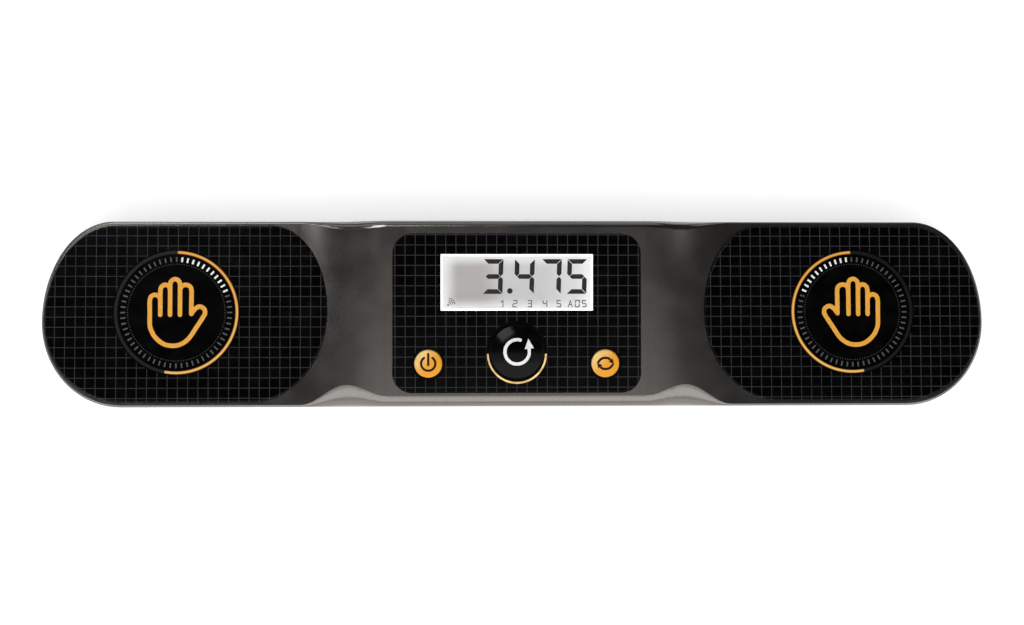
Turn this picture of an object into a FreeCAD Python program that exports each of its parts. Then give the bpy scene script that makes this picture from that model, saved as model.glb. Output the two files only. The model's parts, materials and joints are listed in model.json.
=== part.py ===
import FreeCAD, Part
import math
import os
import re

import Sketcher
from FreeCAD import Placement, Rotation, Vector

# Speed cube timer: a long flat box that two hands rest on, with a touch pad on each end
# and a tilted console with a display and three buttons in the middle.
#
# Frame: +X to the right, +Y to the back, +Z up, in millimetres. The origin lies under
# the middle of the timer, on the surface that its rubber feet stand on. Pieces of the
# console are drawn flat, about the middle of the console's top face, and are then
# tilted towards the user together.

doc = FreeCAD.newDocument("SpeedCubeTimer")

# ---------------------------------------------------------------------------
# Driving dimensions
# ---------------------------------------------------------------------------

SIZES = {
    # housing, in plan
    "overall_length": (280.0, "tip to tip"),
    "overall_depth": (55.0, "front wall to rear wall"),
    "tip_setback": (2.4, "tips lie this far in front of the middle line"),
    "rear_sweep": (20.8, "length of the rear corner curves along X"),
    "front_sweep": (23.3, "length of the front corner curves along X"),
    "wall": (2.0, "side walls of both housings"),
    # housing, in height
    "foot_drop": (1.2, "gap between the base and the table"),
    "base_height": (7.0, "bottom housing, base to parting plane"),
    "base_floor": (1.8, "floor of the bottom housing"),
    "base_round": (2.6, "round along the lower outside edge"),
    "pod_height": (10.2, "top housing, parting plane to the rim of a pod"),
    "pod_roof": (3.6, "roof of a pod, rim to ceiling"),
    "rim_round": (0.6, "round along the rim of a pod"),
    "cavity_round": (3.2, "round between ceiling and walls"),
    "lip_height": (1.2, "locating lip on the bottom housing"),
    "lip_wall": (0.9, "thickness of the locating lip"),
    "lip_clearance": (0.15, "lip to top housing"),
    # bridge between the pods
    "pod_length": (76.0, "pod, from its tip to where the bridge starts"),
    "console_margin": (1.7, "console beyond the sides of its panel"),
    "console_level": (21.5, "height of the console face above the table"),
    "console_tilt": (4.0, "degrees that the console leans towards the user"),
    "console_front_round": (3.4, "round along the front of the console"),
    "console_rear_round": (2.0, "round along the back of the console"),
    "saddle_dip": (0.4, "depth of the saddle between pod and console"),
    "saddle_front_round": (4.6, "extra round along the front of the saddle"),
    "saddle_rear_round": (1.2, "extra round along the back of the saddle"),
    # touch pads
    "pad_inset": (1.5, "pad to housing wall, front and back"),
    "pad_tip_inset": (1.0, "pad to housing tip"),
    "pad_length": (82.8, "touch pad, outer tip to inner tip"),
    "pad_inner_set": (1.2, "inner tip of a pad, behind the middle line"),
    "pad_rear_sweep": (16.2, "inner rear corner curve along X"),
    "pad_front_sweep": (21.8, "inner front corner curve along X"),
    "pad_thickness": (2.0, "plate of a touch pad"),
    "pad_proud": (0.9, "pad face above the rim of its pod"),
    "pad_edge": (0.5, "round along the edge of a pad"),
    "pad_gap": (0.2, "gap between a pad and its recess"),
    "ring_inset": (39.6, "middle of a light ring, from the tip of the housing"),
    "ring_set": (0.4, "middle of a light ring, behind the middle line"),
    "ring_radius": (17.8, "middle of the light ring's band"),
    "ring_width": (0.9, "band of the light ring"),
    "ring_depth": (1.0, "light ring, top to bottom"),
    "board_radius": (19.6, "touch board"),
    "board_thickness": (1.2, "all circuit boards"),
    "board_ledge": (1.6, "ledge that carries a touch board"),
    "board_gap": (0.2, "gap round a touch board"),
    "led_circle": (16.6, "circle of the light ring's LEDs"),
    "led_size": (1.6, "one LED, along and across"),
    "led_height": (0.7, "one LED"),
    "led_count": (12, "LEDs under one light ring"),
    "led_window": (0.6, "hole in the board above an LED, radius"),
    # console panel, display and buttons
    "panel_width_front": (73.6, "console panel along its front edge"),
    "panel_width_rear": (73.2, "console panel along its rear edge"),
    "panel_depth": (47.0, "console panel, front to back"),
    "panel_corner": (5.8, "corner radius of the console panel"),
    "panel_thickness": (1.6, "console panel"),
    "panel_proud": (0.2, "panel face above the housing"),
    "panel_edge": (0.3, "round along the edge of the panel"),
    "panel_gap": (0.15, "gap between the panel and its recess"),
    "panel_ledge": (3.1, "ledge that carries the panel, across"),
    "ledge_thickness": (1.8, "ledge that carries the panel"),
    "hollow_margin": (3.3, "hollow under the ledge, beyond the opening"),
    "window_inset": (14.1, "display window to the sides of the panel, at its rear edge"),
    "window_depth": (16.6, "display window"),
    "window_set": (9.1, "middle of the display, behind the console's middle"),
    "window_gap": (0.05, "glued joint round the display window"),
    "glass_margin": (1.2, "display glass beyond the window"),
    "glass_thickness": (1.4, "display glass"),
    "backlight_thickness": (0.9, "backlight plate"),
    "frame_wall": (1.2, "wall of the display frame"),
    "small_button_radius": (4.1, "power and mode buttons"),
    "small_button_clear": (2.6, "flange of a small button to the side of the opening"),
    "small_button_set": (14.9, "power and mode buttons, in front of the middle"),
    "small_button_proud": (0.7, "power and mode buttons above the panel"),
    "reset_button_radius": (8.05, "reset button"),
    "reset_button_set": (11.4, "reset button, in front of the middle"),
    "reset_button_proud": (0.5, "edge of the reset button above the panel"),
    "reset_button_dome": (1.4, "crown of the reset button above its edge"),
    "small_button_dome": (0.25, "crown of the small buttons above their edge"),
    "button_round": (0.5, "round along the edge of a button"),
    "button_gap": (0.15, "gap between a button and the panel"),
    "button_flange": (0.6, "flange of a button beyond its hole"),
    "button_flange_height": (0.5, "flange of a button"),
    "button_travel": (0.6, "stroke of a button"),
    "rest_gap": (0.05, "running gap at rest between moving and fixed faces"),
    "arc_radius": (8.6, "middle of the console light's band"),
    "arc_width": (0.5, "band of the console light"),
    "arc_set": (12.05, "middle of the console light, in front of the middle"),
    "stem_radius": (1.0, "stem of a tact switch"),
    "stem_length": (1.2, "stem of a tact switch"),
    "stem_gap": (0.1, "stem to tact switch body"),
    "switch_size": (5.0, "tact switch body, along and across"),
    "switch_gap": (0.15, "spare stroke above and inside a tact switch"),
    "board_clear": (0.4, "main board to the sides of the opening"),
    "board_corner": (1.5, "corner radius of the main board"),
    "board_drop": (4.4, "console face to the top of the main board"),
    "post_radius": (2.2, "posts under the panel"),
    "post_inset": (4.1, "rear posts, in from the side of the opening"),
    "post_rear_set": (15.0, "rear posts, behind the middle"),
    "post_front_inset": (10.8, "front posts, in from the small buttons"),
    "post_front_set": (16.6, "front posts, in front of the middle"),
    "small_screw_radius": (0.8, "board screws"),
    "small_screw_head": (1.6, "head radius of the board screws"),
    "small_screw_head_height": (0.9, "head of the board screws"),
    "small_screw_bite": (2.0, "board screws, depth into the posts"),
    "small_screw_spare": (0.2, "hole beyond the end of a board screw"),
    "small_drive_span": (1.8, "cross recess of a board screw, end to end"),
    "small_drive_width": (0.45, "arms of a board screw's cross recess"),
    "small_drive_depth": (0.5, "cross recess of a board screw"),
    "thread_gap": (0.05, "screw to the hole that it cuts its thread in"),
    "chip_size": (8.0, "processor chip, along and across"),
    "chip_height": (0.9, "processor chip"),
    "chip_across": (11.0, "chips under the main board, from the middle"),
    "chip_set": (8.0, "chips under the main board, behind the middle"),
    "radio_width": (13.0, "wireless module"),
    "radio_depth": (10.0, "wireless module"),
    "radio_height": (1.0, "wireless module"),
    # power, data and sound
    "cell_radius": (5.25, "AAA cell"),
    "cell_length": (43.7, "AAA cell without its nub"),
    "nub_radius": (1.9, "nub of a cell"),
    "nub_length": (0.8, "nub of a cell"),
    "cell_round": (0.5, "round along the ends of a cell"),
    "cell_gap": (0.3, "cell to cell and cell to bay"),
    "contact_room": (1.5, "room for the contacts at each end of the bay"),
    "contact_thickness": (0.4, "battery contact plate"),
    "contact_width": (8.0, "battery contact plate"),
    "bay_wall": (1.2, "walls of the battery bay"),
    "bay_roof": (0.8, "roof of the battery bay"),
    "bay_plinth": (3.0, "thick floor round the battery bay"),
    "bay_margin": (3.5, "thick floor beyond the hatch"),
    "door_thickness": (1.5, "battery door"),
    "door_ledge": (2.2, "ledge that the battery door closes against"),
    "door_gap": (0.3, "gap round the battery door"),
    "door_corner": (1.5, "corner radius of the battery door"),
    "tab_width": (6.0, "tabs of the battery door"),
    "tab_reach": (1.9, "tabs beyond the door"),
    "tab_thickness": (0.9, "tabs of the battery door"),
    "tab_spread": (7.0, "tabs, from the middle of the door"),
    "tab_gap": (0.2, "tabs above the floor that they hook over"),
    "tab_root": (1.5, "foot of a tab on the door"),
    "tab_swing": (2.5, "height of the slots that the tabs swing in"),
    "latch_width": (9.0, "latch tongue of the battery door"),
    "latch_thickness": (0.9, "latch tongue"),
    "latch_height": (3.6, "latch tongue above the door"),
    "latch_setback": (0.6, "latch tongue to the edge of the door"),
    "latch_catch": (0.4, "catch on the latch tongue"),
    "catch_height": (2.5, "edge of the catch above the door"),
    "catch_slope": (0.7, "slope below the edge of the catch"),
    "latch_room": (0.7, "room round the latch tongue"),
    "finger_depth": (2.0, "finger notch beside the battery door"),
    "jack_across": (32.0, "data jack, right of the middle"),
    "jack_height": (12.0, "axis of the data jack above the table"),
    "jack_bore": (1.8, "bore radius of the data jack"),
    "jack_bore_depth": (11.0, "bore of the data jack"),
    "jack_width": (5.0, "body of the data jack, along and up"),
    "jack_setback": (2.4, "jack body to the inside of the rear wall"),
    "jack_post_spread": (4.4, "posts of the jack board, from the jack"),
    "jack_post_radius": (1.6, "posts of the jack board"),
    "jack_length": (10.6, "body of the data jack"),
    "jack_nose": (2.45, "nose radius of the data jack"),
    "jack_gap": (0.2, "nose to housing"),
    "buzzer_radius": (6.0, "buzzer"),
    "buzzer_height": (3.0, "buzzer"),
    "buzzer_across": (36.0, "buzzer, left of the middle"),
    "buzzer_inset": (12.0, "middle of the buzzer, from the back of the housing"),
    # fasteners and feet
    "screw_outer_inset": (18.0, "outer housing screws, from the tip of the housing"),
    "screw_inner": (50.0, "inner housing screws, from the middle"),
    "screw_inset": (11.0, "housing screws, from the front and back of the housing"),
    "screw_radius": (1.1, "housing screw"),
    "screw_head": (2.3, "head radius of a housing screw"),
    "screw_head_height": (1.5, "head of a housing screw"),
    "screw_head_round": (0.5, "round along the head of a housing screw"),
    "screw_bite": (5.0, "housing screw, depth into the top housing"),
    "screw_spare": (1.0, "hole beyond the end of a housing screw"),
    "drive_span": (2.6, "cross recess of a housing screw, end to end"),
    "drive_width": (0.6, "arms of a housing screw's cross recess"),
    "drive_depth": (1.0, "cross recess of a housing screw"),
    "screw_clearance": (0.3, "screw to through hole"),
    "boss_radius": (3.4, "screw bosses"),
    "seat_height": (4.0, "screw seat above the base"),
    "foot_length": (30.0, "rubber foot"),
    "foot_width": (6.5, "rubber foot"),
    "foot_recess": (0.6, "depth of the recess of a foot"),
    "foot_corner": (2.6, "corner radius of a foot"),
    "foot_round": (0.4, "round along the lower edge of a foot"),
    "foot_inset": (40.0, "middle of a rubber foot, from the tip of the housing"),
    "foot_edge": (8.5, "middle of a rubber foot, from the front or back of the housing"),
    "flex_width": (6.0, "flat cable"),
    "flex_thickness": (0.3, "flat cable"),
    "flex_overlap": (3.5, "flat cable on a touch board"),
    "flex_run": (3.3, "flat cable beyond the main board, before it runs level"),
    "flex_bend": (1.0, "rise of a flat cable to its touch board, along X"),
    "flex_drop": (0.2, "flat cable below the ceiling"),
    "flex_lift": (0.45, "flat cable below the main board"),
    "socket_length": (2.6, "socket of a flat cable"),
    "socket_height": (1.0, "socket of a flat cable"),
    "socket_margin": (0.8, "socket beyond the cable, and to the edge of the main board"),
}

sheet = doc.addObject("Spreadsheet::Sheet", "sizes")
for row, (name, (number, note)) in enumerate(SIZES.items(), start=1):
    sheet.set(f"A{row}", name)
    sheet.set(f"B{row}", str(number))
    sheet.setAlias(f"B{row}", name)
    sheet.set(f"C{row}", note)
doc.recompute()


def ref(text):
    """An expression with every size name pointed at its cell in the sheet."""
    return re.sub(r"[a-z_]+", lambda m: f"sizes.{m[0]}" if m[0] in SIZES else m[0], text)


def value(text):
    """What an expression of size names is worth now, in millimetres."""
    return float(sheet.evalExpression(ref(text)))


def bind(item, prop, text):
    """Tie one property of an object to an expression of size names."""
    item.setExpression(prop, ref(text))


# ---------------------------------------------------------------------------
# Sketches
# ---------------------------------------------------------------------------

START, END, CENTRE = range(1, 4)
ORIGIN = (-1, START)


def new_body(label, many=False):
    """A body; many=True lets it hold several separate solids of one kind."""
    body = doc.addObject("PartDesign::Body", label)
    body.Label = label
    body.AllowCompound = many
    return body


def new_sketch(body, plane="XY_Plane", level="0", tilted=False):
    """A sketch on one of the body's origin planes, moved along the plane's normal.

    tilted=True lays it in the tilted face of the console instead, level above that face.
    """
    sketch = body.newObject("Sketcher::SketchObject", "sketch")
    base = next(f for f in body.Origin.OriginFeatures if f.Role == plane)
    sketch.AttachmentSupport = [(base, "")]
    sketch.MapMode = "FlatFace"
    if tilted:
        tilt = Rotation(Vector(1, 0, 0), value("console_tilt"))
        sketch.AttachmentOffset = Placement(Vector(0, 0, 0), tilt)
        bind(sketch, "AttachmentOffset.Rotation.Angle", "console_tilt")
        bind(sketch, "AttachmentOffset.Base.y", f"-({level}) * sin(console_tilt * 1deg)")
        bind(sketch, "AttachmentOffset.Base.z", f"console_level + ({level}) * cos(console_tilt * 1deg)")
    else:
        bind(sketch, "AttachmentOffset.Base.z", level)
    return sketch


def dimension(sketch, kind, geometry, text, vertex=None):
    """A dimension from the sketch's origin, or of one piece, tied to an expression."""
    number = value(text)
    if vertex is None:
        rule = Sketcher.Constraint(kind, geometry, number)
    else:
        rule = Sketcher.Constraint(kind, *ORIGIN, geometry, vertex, number)
    index = sketch.addConstraint(rule)
    bind(sketch, f"Constraints[{index}]", text)


def pin(sketch, geometry, vertex, x, y):
    """Fix a vertex of a sketch at two expressions."""
    dimension(sketch, "DistanceX", geometry, x, vertex)
    dimension(sketch, "DistanceY", geometry, y, vertex)


def tie(sketch, kind, *rest):
    sketch.addConstraint(Sketcher.Constraint(kind, *rest))


def polygon(sketch, corners):
    """A closed outline. Each corner is (x, y) where sharp or (x, y, radius) where round."""
    points = [Vector(value(corner[0]), value(corner[1]), 0) for corner in corners]
    count = len(corners)
    trims = []
    for i, corner in enumerate(corners):
        if len(corner) == 2:
            trims.append((points[i], points[i]))
            continue
        back = (points[i - 1] - points[i]).normalize()
        ahead = (points[(i + 1) % count] - points[i]).normalize()
        reach = value(corner[2]) / math.tan(back.getAngle(ahead) / 2)
        trims.append((points[i] + back * reach, points[i] + ahead * reach))
    lines = []
    for i in range(count):
        edge = Part.LineSegment(trims[i][1], trims[(i + 1) % count][0])
        lines.append(sketch.addGeometry(edge))
    for i, corner in enumerate(corners):
        before, after = lines[i - 1], lines[i]
        if len(corner) == 2:
            tie(sketch, "Coincident", before, END, after, START)
            pin(sketch, after, START, corner[0], corner[1])
            continue
        first, last = trims[i]
        chord = (first + last) / 2 - points[i]
        half_angle = (first - points[i]).getAngle(last - points[i]) / 2
        radius = value(corner[2])
        centre = points[i] + chord.normalize() * (radius / math.sin(half_angle))
        crown = centre + (points[i] - centre).normalize() * radius
        arc = sketch.addGeometry(Part.Arc(first, crown, last))
        tip = sketch.addGeometry(Part.Point(points[i]), True)
        forward = sketch.getPoint(arc, START).isEqual(first, 1e-6)
        entry, leave = (START, END) if forward else (END, START)
        pin(sketch, tip, START, corner[0], corner[1])
        tie(sketch, "PointOnObject", tip, START, before)
        tie(sketch, "PointOnObject", tip, START, after)
        tie(sketch, "Tangent", before, END, arc, entry)
        tie(sketch, "Tangent", arc, leave, after, START)
        dimension(sketch, "Radius", arc, corner[2])
    return sketch


def rectangle(sketch, width, depth, x="0", y="0", radius=None):
    """A rectangle about (x, y), with round corners where a radius is given."""
    left, right = f"{x} - ({width}) / 2", f"{x} + ({width}) / 2"
    front, rear = f"{y} - ({depth}) / 2", f"{y} + ({depth}) / 2"
    extra = () if radius is None else (radius,)
    corners = [(left, front), (right, front), (right, rear), (left, rear)]
    return polygon(sketch, [corner + extra for corner in corners])


def cross(sketch, span, width, x, y):
    """An upright cross about (x, y) with four equal arms."""
    tip, side = f"({span}) / 2", f"({width}) / 2"
    steps = [(tip, side), (side, side), (side, tip)]
    corners = []
    for turn_x, turn_y in ((1, 1), (-1, 1), (-1, -1), (1, -1)):
        quarter = [(f"{x} + {turn_x} * {a}", f"{y} + {turn_y} * {b}") for a, b in steps]
        corners += quarter if turn_x == turn_y else quarter[::-1]
    return polygon(sketch, corners)


def crowned_profile(sketch, corners, height):
    """Half of a turned cap: straight lines through the corners, closed by an arched crown.

    The first corner lies on the axis. From the last one an arc rises to the axis, which
    it crosses level at the given height.
    """
    points = [Vector(value(x), value(y), 0) for x, y in corners]
    edge, top = points[-1], Vector(0, value(height), 0)
    rise = top.y - edge.y
    radius = (edge.x**2 + rise**2) / (2 * rise)
    middle = top - Vector(0, radius, 0)
    start = math.atan2(edge.y - middle.y, edge.x)
    lines = [sketch.addGeometry(Part.LineSegment(*pair)) for pair in zip(points, points[1:])]
    full = Part.Circle(middle, Vector(0, 0, 1), radius)
    crown = sketch.addGeometry(Part.ArcOfCircle(full, start, math.pi / 2))
    axis = sketch.addGeometry(Part.LineSegment(top, points[0]))
    path = [*lines, crown, axis]
    for before, after in zip(path, path[1:] + path[:1]):
        tie(sketch, "Coincident", before, END, after, START)
    for line, (x, y) in zip(lines, corners):
        pin(sketch, line, START, x, y)
    pin(sketch, crown, START, *corners[-1])
    pin(sketch, axis, START, "0", height)
    dimension(sketch, "DistanceX", crown, "0", CENTRE)
    return sketch


def circle(sketch, radius, x="0", y="0"):
    middle = Vector(value(x), value(y), 0)
    ring = sketch.addGeometry(Part.Circle(middle, Vector(0, 0, 1), value(radius)))
    pin(sketch, ring, CENTRE, x, y)
    dimension(sketch, "Radius", ring, radius)
    return sketch


def half_ring(sketch, radius, width, y):
    """The lower half of a flat ring about (0, y)."""
    middle = Vector(0, value(y), 0)
    ends = []
    for edge in (f"({radius}) - ({width}) / 2", f"({radius}) + ({width}) / 2"):
        full = Part.Circle(middle, Vector(0, 0, 1), value(edge))
        arc = sketch.addGeometry(Part.ArcOfCircle(full, math.pi, 2 * math.pi))
        pin(sketch, arc, CENTRE, "0", y)
        dimension(sketch, "Radius", arc, edge)
        tie(sketch, "Horizontal", arc, CENTRE, arc, START)
        tie(sketch, "Horizontal", arc, CENTRE, arc, END)
        ends.append(arc)
    inner, outer = ends
    for vertex in (START, END):
        cap = Part.LineSegment(sketch.getPoint(inner, vertex), sketch.getPoint(outer, vertex))
        line = sketch.addGeometry(cap)
        tie(sketch, "Coincident", line, START, inner, vertex)
        tie(sketch, "Coincident", line, END, outer, vertex)
    return sketch


def quarter_ellipse(middle, along, across, start):
    """A quarter of an ellipse with its half axes along X and Y, from the angle start."""
    far_x = middle + Vector(along, 0, 0)
    far_y = middle + Vector(0, across, 0)
    if along >= across:
        return Part.ArcOfEllipse(Part.Ellipse(far_x, far_y, middle), start, start + math.pi / 2)
    oval = Part.Ellipse(far_y, middle - Vector(along, 0, 0), middle)
    return Part.ArcOfEllipse(oval, start - math.pi / 2, start)


def swept_outline(sketch, left, right, front, rear, sweeps):
    """Two straight edges along X, joined at each end by two quarter ellipses.

    left and right are the tips (x, y); sweeps are the lengths along X of the front left,
    front right, rear right and rear left quarters.
    """
    corners = [
        (left, front, sweeps[0], 1, math.pi),
        (right, front, sweeps[1], -1, math.pi * 1.5),
        (right, rear, sweeps[2], -1, 0.0),
        (left, rear, sweeps[3], 1, math.pi * 0.5),
    ]
    arcs = []
    for tip, edge, sweep, inward, start in corners:
        middle = Vector(value(tip[0]) + inward * value(sweep), value(tip[1]), 0)
        across = abs(value(edge) - middle.y)
        arcs.append(sketch.addGeometry(quarter_ellipse(middle, value(sweep), across, start)))
    front_left, front_right, rear_right, rear_left = arcs
    for first, last, edge in ((front_left, front_right, front), (rear_right, rear_left, rear)):
        line = Part.LineSegment(sketch.getPoint(first, END), sketch.getPoint(last, START))
        straight = sketch.addGeometry(line)
        tie(sketch, "Horizontal", straight)
        tie(sketch, "Tangent", first, END, straight, START)
        tie(sketch, "Tangent", straight, END, last, START)
        dimension(sketch, "DistanceY", straight, edge, START)
    tie(sketch, "Coincident", front_right, END, rear_right, START)
    tie(sketch, "Coincident", rear_left, END, front_left, START)
    pin(sketch, front_right, END, *right)
    pin(sketch, rear_left, END, *left)
    ends = ((START, END), (END, START), (START, END), (END, START))
    for arc, (tip, _, sweep, inward, _), (at_tip, at_edge) in zip(arcs, corners, ends):
        dimension(sketch, "DistanceX", arc, f"{tip[0]} + {inward} * ({sweep})", at_edge)
        tie(sketch, "Vertical", arc, CENTRE, arc, at_edge)
        tie(sketch, "Horizontal", arc, CENTRE, arc, at_tip)
    return sketch


# ---------------------------------------------------------------------------
# Features
# ---------------------------------------------------------------------------


def grow(body, sketch, length, down=False, symmetric=False):
    """Pad a sketch along its normal."""
    before = body.Shape.Volume if body.Shape.Faces else 0.0
    feature = body.newObject("PartDesign::Pad", "pad")
    feature.Profile = sketch
    feature.Reversed = down
    if symmetric:
        feature.SideType = "Symmetric"
    bind(feature, "Length", length)
    doc.recompute()
    if body.Shape.Volume <= before:
        raise RuntimeError(f"{body.Label}: a pad adds nothing")
    return feature


def cut(body, sketch, length, up=False):
    """Pocket a sketch against its normal, or along it with up=True."""
    before = body.Shape.Volume
    feature = body.newObject("PartDesign::Pocket", "pocket")
    feature.Profile = sketch
    feature.Reversed = up
    bind(feature, "Length", length)
    doc.recompute()
    if body.Shape.Volume >= before:
        raise RuntimeError(f"{body.Label}: a pocket cuts nothing")
    return feature


def turn(body, sketch, axis="V_Axis"):
    """Revolve a sketch about one of its own axes."""
    feature = body.newObject("PartDesign::Revolution", "revolution")
    feature.Profile = sketch
    feature.ReferenceAxis = (sketch, [axis])
    feature.Angle = 360
    doc.recompute()
    return feature


def level_edges(feature, level):
    """The edges of a feature that lie flat at one height."""
    height = value(level)
    names = []
    for i, edge in enumerate(feature.Shape.Edges, start=1):
        box = edge.BoundBox
        if abs(box.ZMin - height) < 1e-4 and abs(box.ZMax - height) < 1e-4:
            names.append(f"Edge{i}")
    return names


def round_off(body, feature, edges, radius):
    """Fillet named edges of a feature."""
    fillet = body.newObject("PartDesign::Fillet", "fillet")
    fillet.Base = (feature, edges)
    bind(fillet, "Radius", radius)
    doc.recompute()
    return fillet


def ring_of(body, feature, count):
    """Repeat a feature round the body's own Z axis."""
    pattern = body.newObject("PartDesign::PolarPattern", "pattern")
    pattern.Originals = [feature]
    axis = next(f for f in body.Origin.OriginFeatures if f.Role == "Z_Axis")
    pattern.Axis = (axis, [""])
    pattern.Angle = 360
    bind(pattern, "Occurrences", count)
    body.Tip = pattern
    doc.recompute()
    return pattern


def place(body, x="0", y="0", z="0", turned="0"):
    """Put a body at a place in the timer's own frame, turned about its Z axis by degrees."""
    body.Placement = Placement(Vector(0, 0, 0), Rotation(Vector(0, 0, 1), value(turned)))
    bind(body, "Placement.Rotation.Angle", turned)
    for axis, text in zip("xyz", (x, y, z)):
        bind(body, f"Placement.Base.{axis}", text)


def place_on_console(body, x="0", y="0", z="0"):
    """Put a body on the tilted console; x, y and z are measured from its top face."""
    slope = "(console_tilt * 1deg)"
    body.Placement = Placement(Vector(0, 0, 0), Rotation(Vector(1, 0, 0), value("console_tilt")))
    bind(body, "Placement.Rotation.Angle", "console_tilt")
    bind(body, "Placement.Base.x", x)
    bind(body, "Placement.Base.y", f"({y}) * cos{slope} - ({z}) * sin{slope}")
    bind(body, "Placement.Base.z", f"console_level + ({y}) * sin{slope} + ({z}) * cos{slope}")


def plate(label, outline, top, thickness):
    """A flat piece: one outline, drawn at the height of its top face and grown downwards."""
    body = new_body(label)
    sketch = new_sketch(body, level=top)
    outline(sketch)
    grow(body, sketch, thickness, down=True)
    return body


# ---------------------------------------------------------------------------
# Heights and outlines that several pieces share
# ---------------------------------------------------------------------------

PARTING = "(foot_drop + base_height)"
FLOOR = "(foot_drop + base_floor)"
RIM = f"({PARTING} + pod_height)"
CEILING = f"({RIM} - pod_roof)"
PAD_FACE = f"({RIM} + pad_proud)"
PAD_SEAT = f"({PAD_FACE} - pad_thickness)"
SIDES = ((-1, "left"), (1, "right"))

TIP = "(overall_length / 2)"
BACK = "(overall_depth / 2)"
PAD_TIP = f"({TIP} - pad_tip_inset)"
PAD_INNER = f"({PAD_TIP} - pad_length)"
RING_ACROSS = f"({TIP} - ring_inset)"
POD_BREAK = f"({TIP} - pod_length)"
CONSOLE_BREAK = "(panel_width_front / 2 + console_margin)"
OPENING_WIDTH = "(panel_width_rear - 2 * panel_ledge)"
OPENING_DEPTH = "(panel_depth - 2 * panel_ledge)"
BOARD_WIDTH = f"({OPENING_WIDTH} - 2 * board_clear)"
BOARD_DEPTH = f"({OPENING_DEPTH} - 2 * board_clear)"
SIDE_BUTTON = f"({OPENING_WIDTH} / 2 - small_button_clear - button_flange - small_button_radius)"


def housing_outline(sketch, inset="0"):
    """The housing seen from above, drawn in by an inset all round."""
    tip = f"{TIP} - ({inset})"
    edge = f"{BACK} - ({inset})"
    front, rear = f"front_sweep - ({inset}) / 2", f"rear_sweep - ({inset}) / 2"
    left, right = (f"-({tip})", "-tip_setback"), (tip, "-tip_setback")
    return swept_outline(sketch, left, right, f"-({edge})", edge, (front, front, rear, rear))


def pad_outline(sketch, side, grown="0"):
    """A touch pad seen from above: the housing's curves outside, its own ones inside."""
    outer = (f"{side} * ({PAD_TIP} + ({grown}))", "-tip_setback")
    inner = (f"{side} * ({PAD_INNER} - ({grown}))", "pad_inner_set")
    edge = f"{BACK} - pad_inset + ({grown})"
    outer_front, outer_rear = "front_sweep", "rear_sweep"
    inner_front, inner_rear = "pad_front_sweep", "pad_rear_sweep"
    if side < 0:
        tips, sweeps = (outer, inner), (outer_front, inner_front, inner_rear, outer_rear)
    else:
        tips, sweeps = (inner, outer), (inner_front, outer_front, outer_rear, inner_rear)
    return swept_outline(sketch, *tips, f"-({edge})", edge, sweeps)


def panel_outline(sketch, grown="0"):
    """The console panel: a touch wider at the front, with round corners."""
    front = f"-(panel_depth / 2 + ({grown}))"
    rear = f"panel_depth / 2 + ({grown})"
    front_half = f"panel_width_front / 2 + ({grown})"
    rear_half = f"panel_width_rear / 2 + ({grown})"
    corners = [
        (f"-({front_half})", front),
        (front_half, front),
        (rear_half, rear),
        (f"-({rear_half})", rear),
    ]
    return polygon(sketch, [corner + (f"panel_corner + ({grown})",) for corner in corners])


def screw_places():
    """The places of the housing screws."""
    return [
        (f"{side} * {across}", f"{row} * ({BACK} - screw_inset)")
        for side in (-1, 1)
        for across in (f"({TIP} - screw_outer_inset)", "screw_inner")
        for row in (-1, 1)
    ]


def post_places():
    """The places of the board screws, on the console."""
    wide, narrow = f"({OPENING_WIDTH} / 2 - post_inset)", f"({SIDE_BUTTON} - post_front_inset)"
    rear = [(f"{side} * {wide}", "post_rear_set") for side in (-1, 1)]
    front = [(f"{side} * {narrow}", "-post_front_set") for side in (-1, 1)]
    return rear + front


def circles(sketch, places, radius):
    for x, y in places:
        circle(sketch, radius, x, y)
    return sketch


# ---------------------------------------------------------------------------
# Top housing: two pods, the saddles and the tilted console between them
# ---------------------------------------------------------------------------

SLOPE = "tan(console_tilt * 1deg)"
FACE_FRONT = f"(console_level - panel_proud - {BACK} * {SLOPE})"
FACE_REAR = f"(console_level - panel_proud + {BACK} * {SLOPE})"
SADDLE_STEPS = 6


def bridge_section(body, across, share):
    """A section through the bridge; share runs from 0 at a pod to 1 at the console."""
    rise = f"{(1 - math.cos(math.pi * share)) / 2:.6f}"
    sag = f"{math.sin(math.pi * share) ** 2:.6f}"
    edges = []
    for face, console_round, saddle_round in (
        (FACE_FRONT, "console_front_round", "saddle_front_round"),
        (FACE_REAR, "console_rear_round", "saddle_rear_round"),
    ):
        top = f"{RIM} + ({face} - {RIM}) * {rise} - saddle_dip * {sag}"
        radius = f"rim_round + ({console_round} - rim_round) * {rise} + {saddle_round} * {sag}"
        edges.append((top, radius))
    front, rear = edges
    sketch = new_sketch(body, "YZ_Plane", across)
    return polygon(sketch, [
        (f"-{BACK}", PARTING),
        (f"-{BACK}", *front),
        (BACK, *rear),
        (BACK, PARTING),
    ])


def bridge_saddle(body, side):
    """The curved stretch between one pod and the console."""
    sections = []
    for step in range(SADDLE_STEPS + 1):
        share = step / SADDLE_STEPS
        across = f"{side} * ({POD_BREAK} + ({CONSOLE_BREAK} - {POD_BREAK}) * {share:.6f})"
        sections.append(bridge_section(body, across, share))
    loft = body.newObject("PartDesign::AdditiveLoft", "saddle")
    loft.Profile = sections[0]
    loft.Sections = sections[1:]
    doc.recompute()


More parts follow.
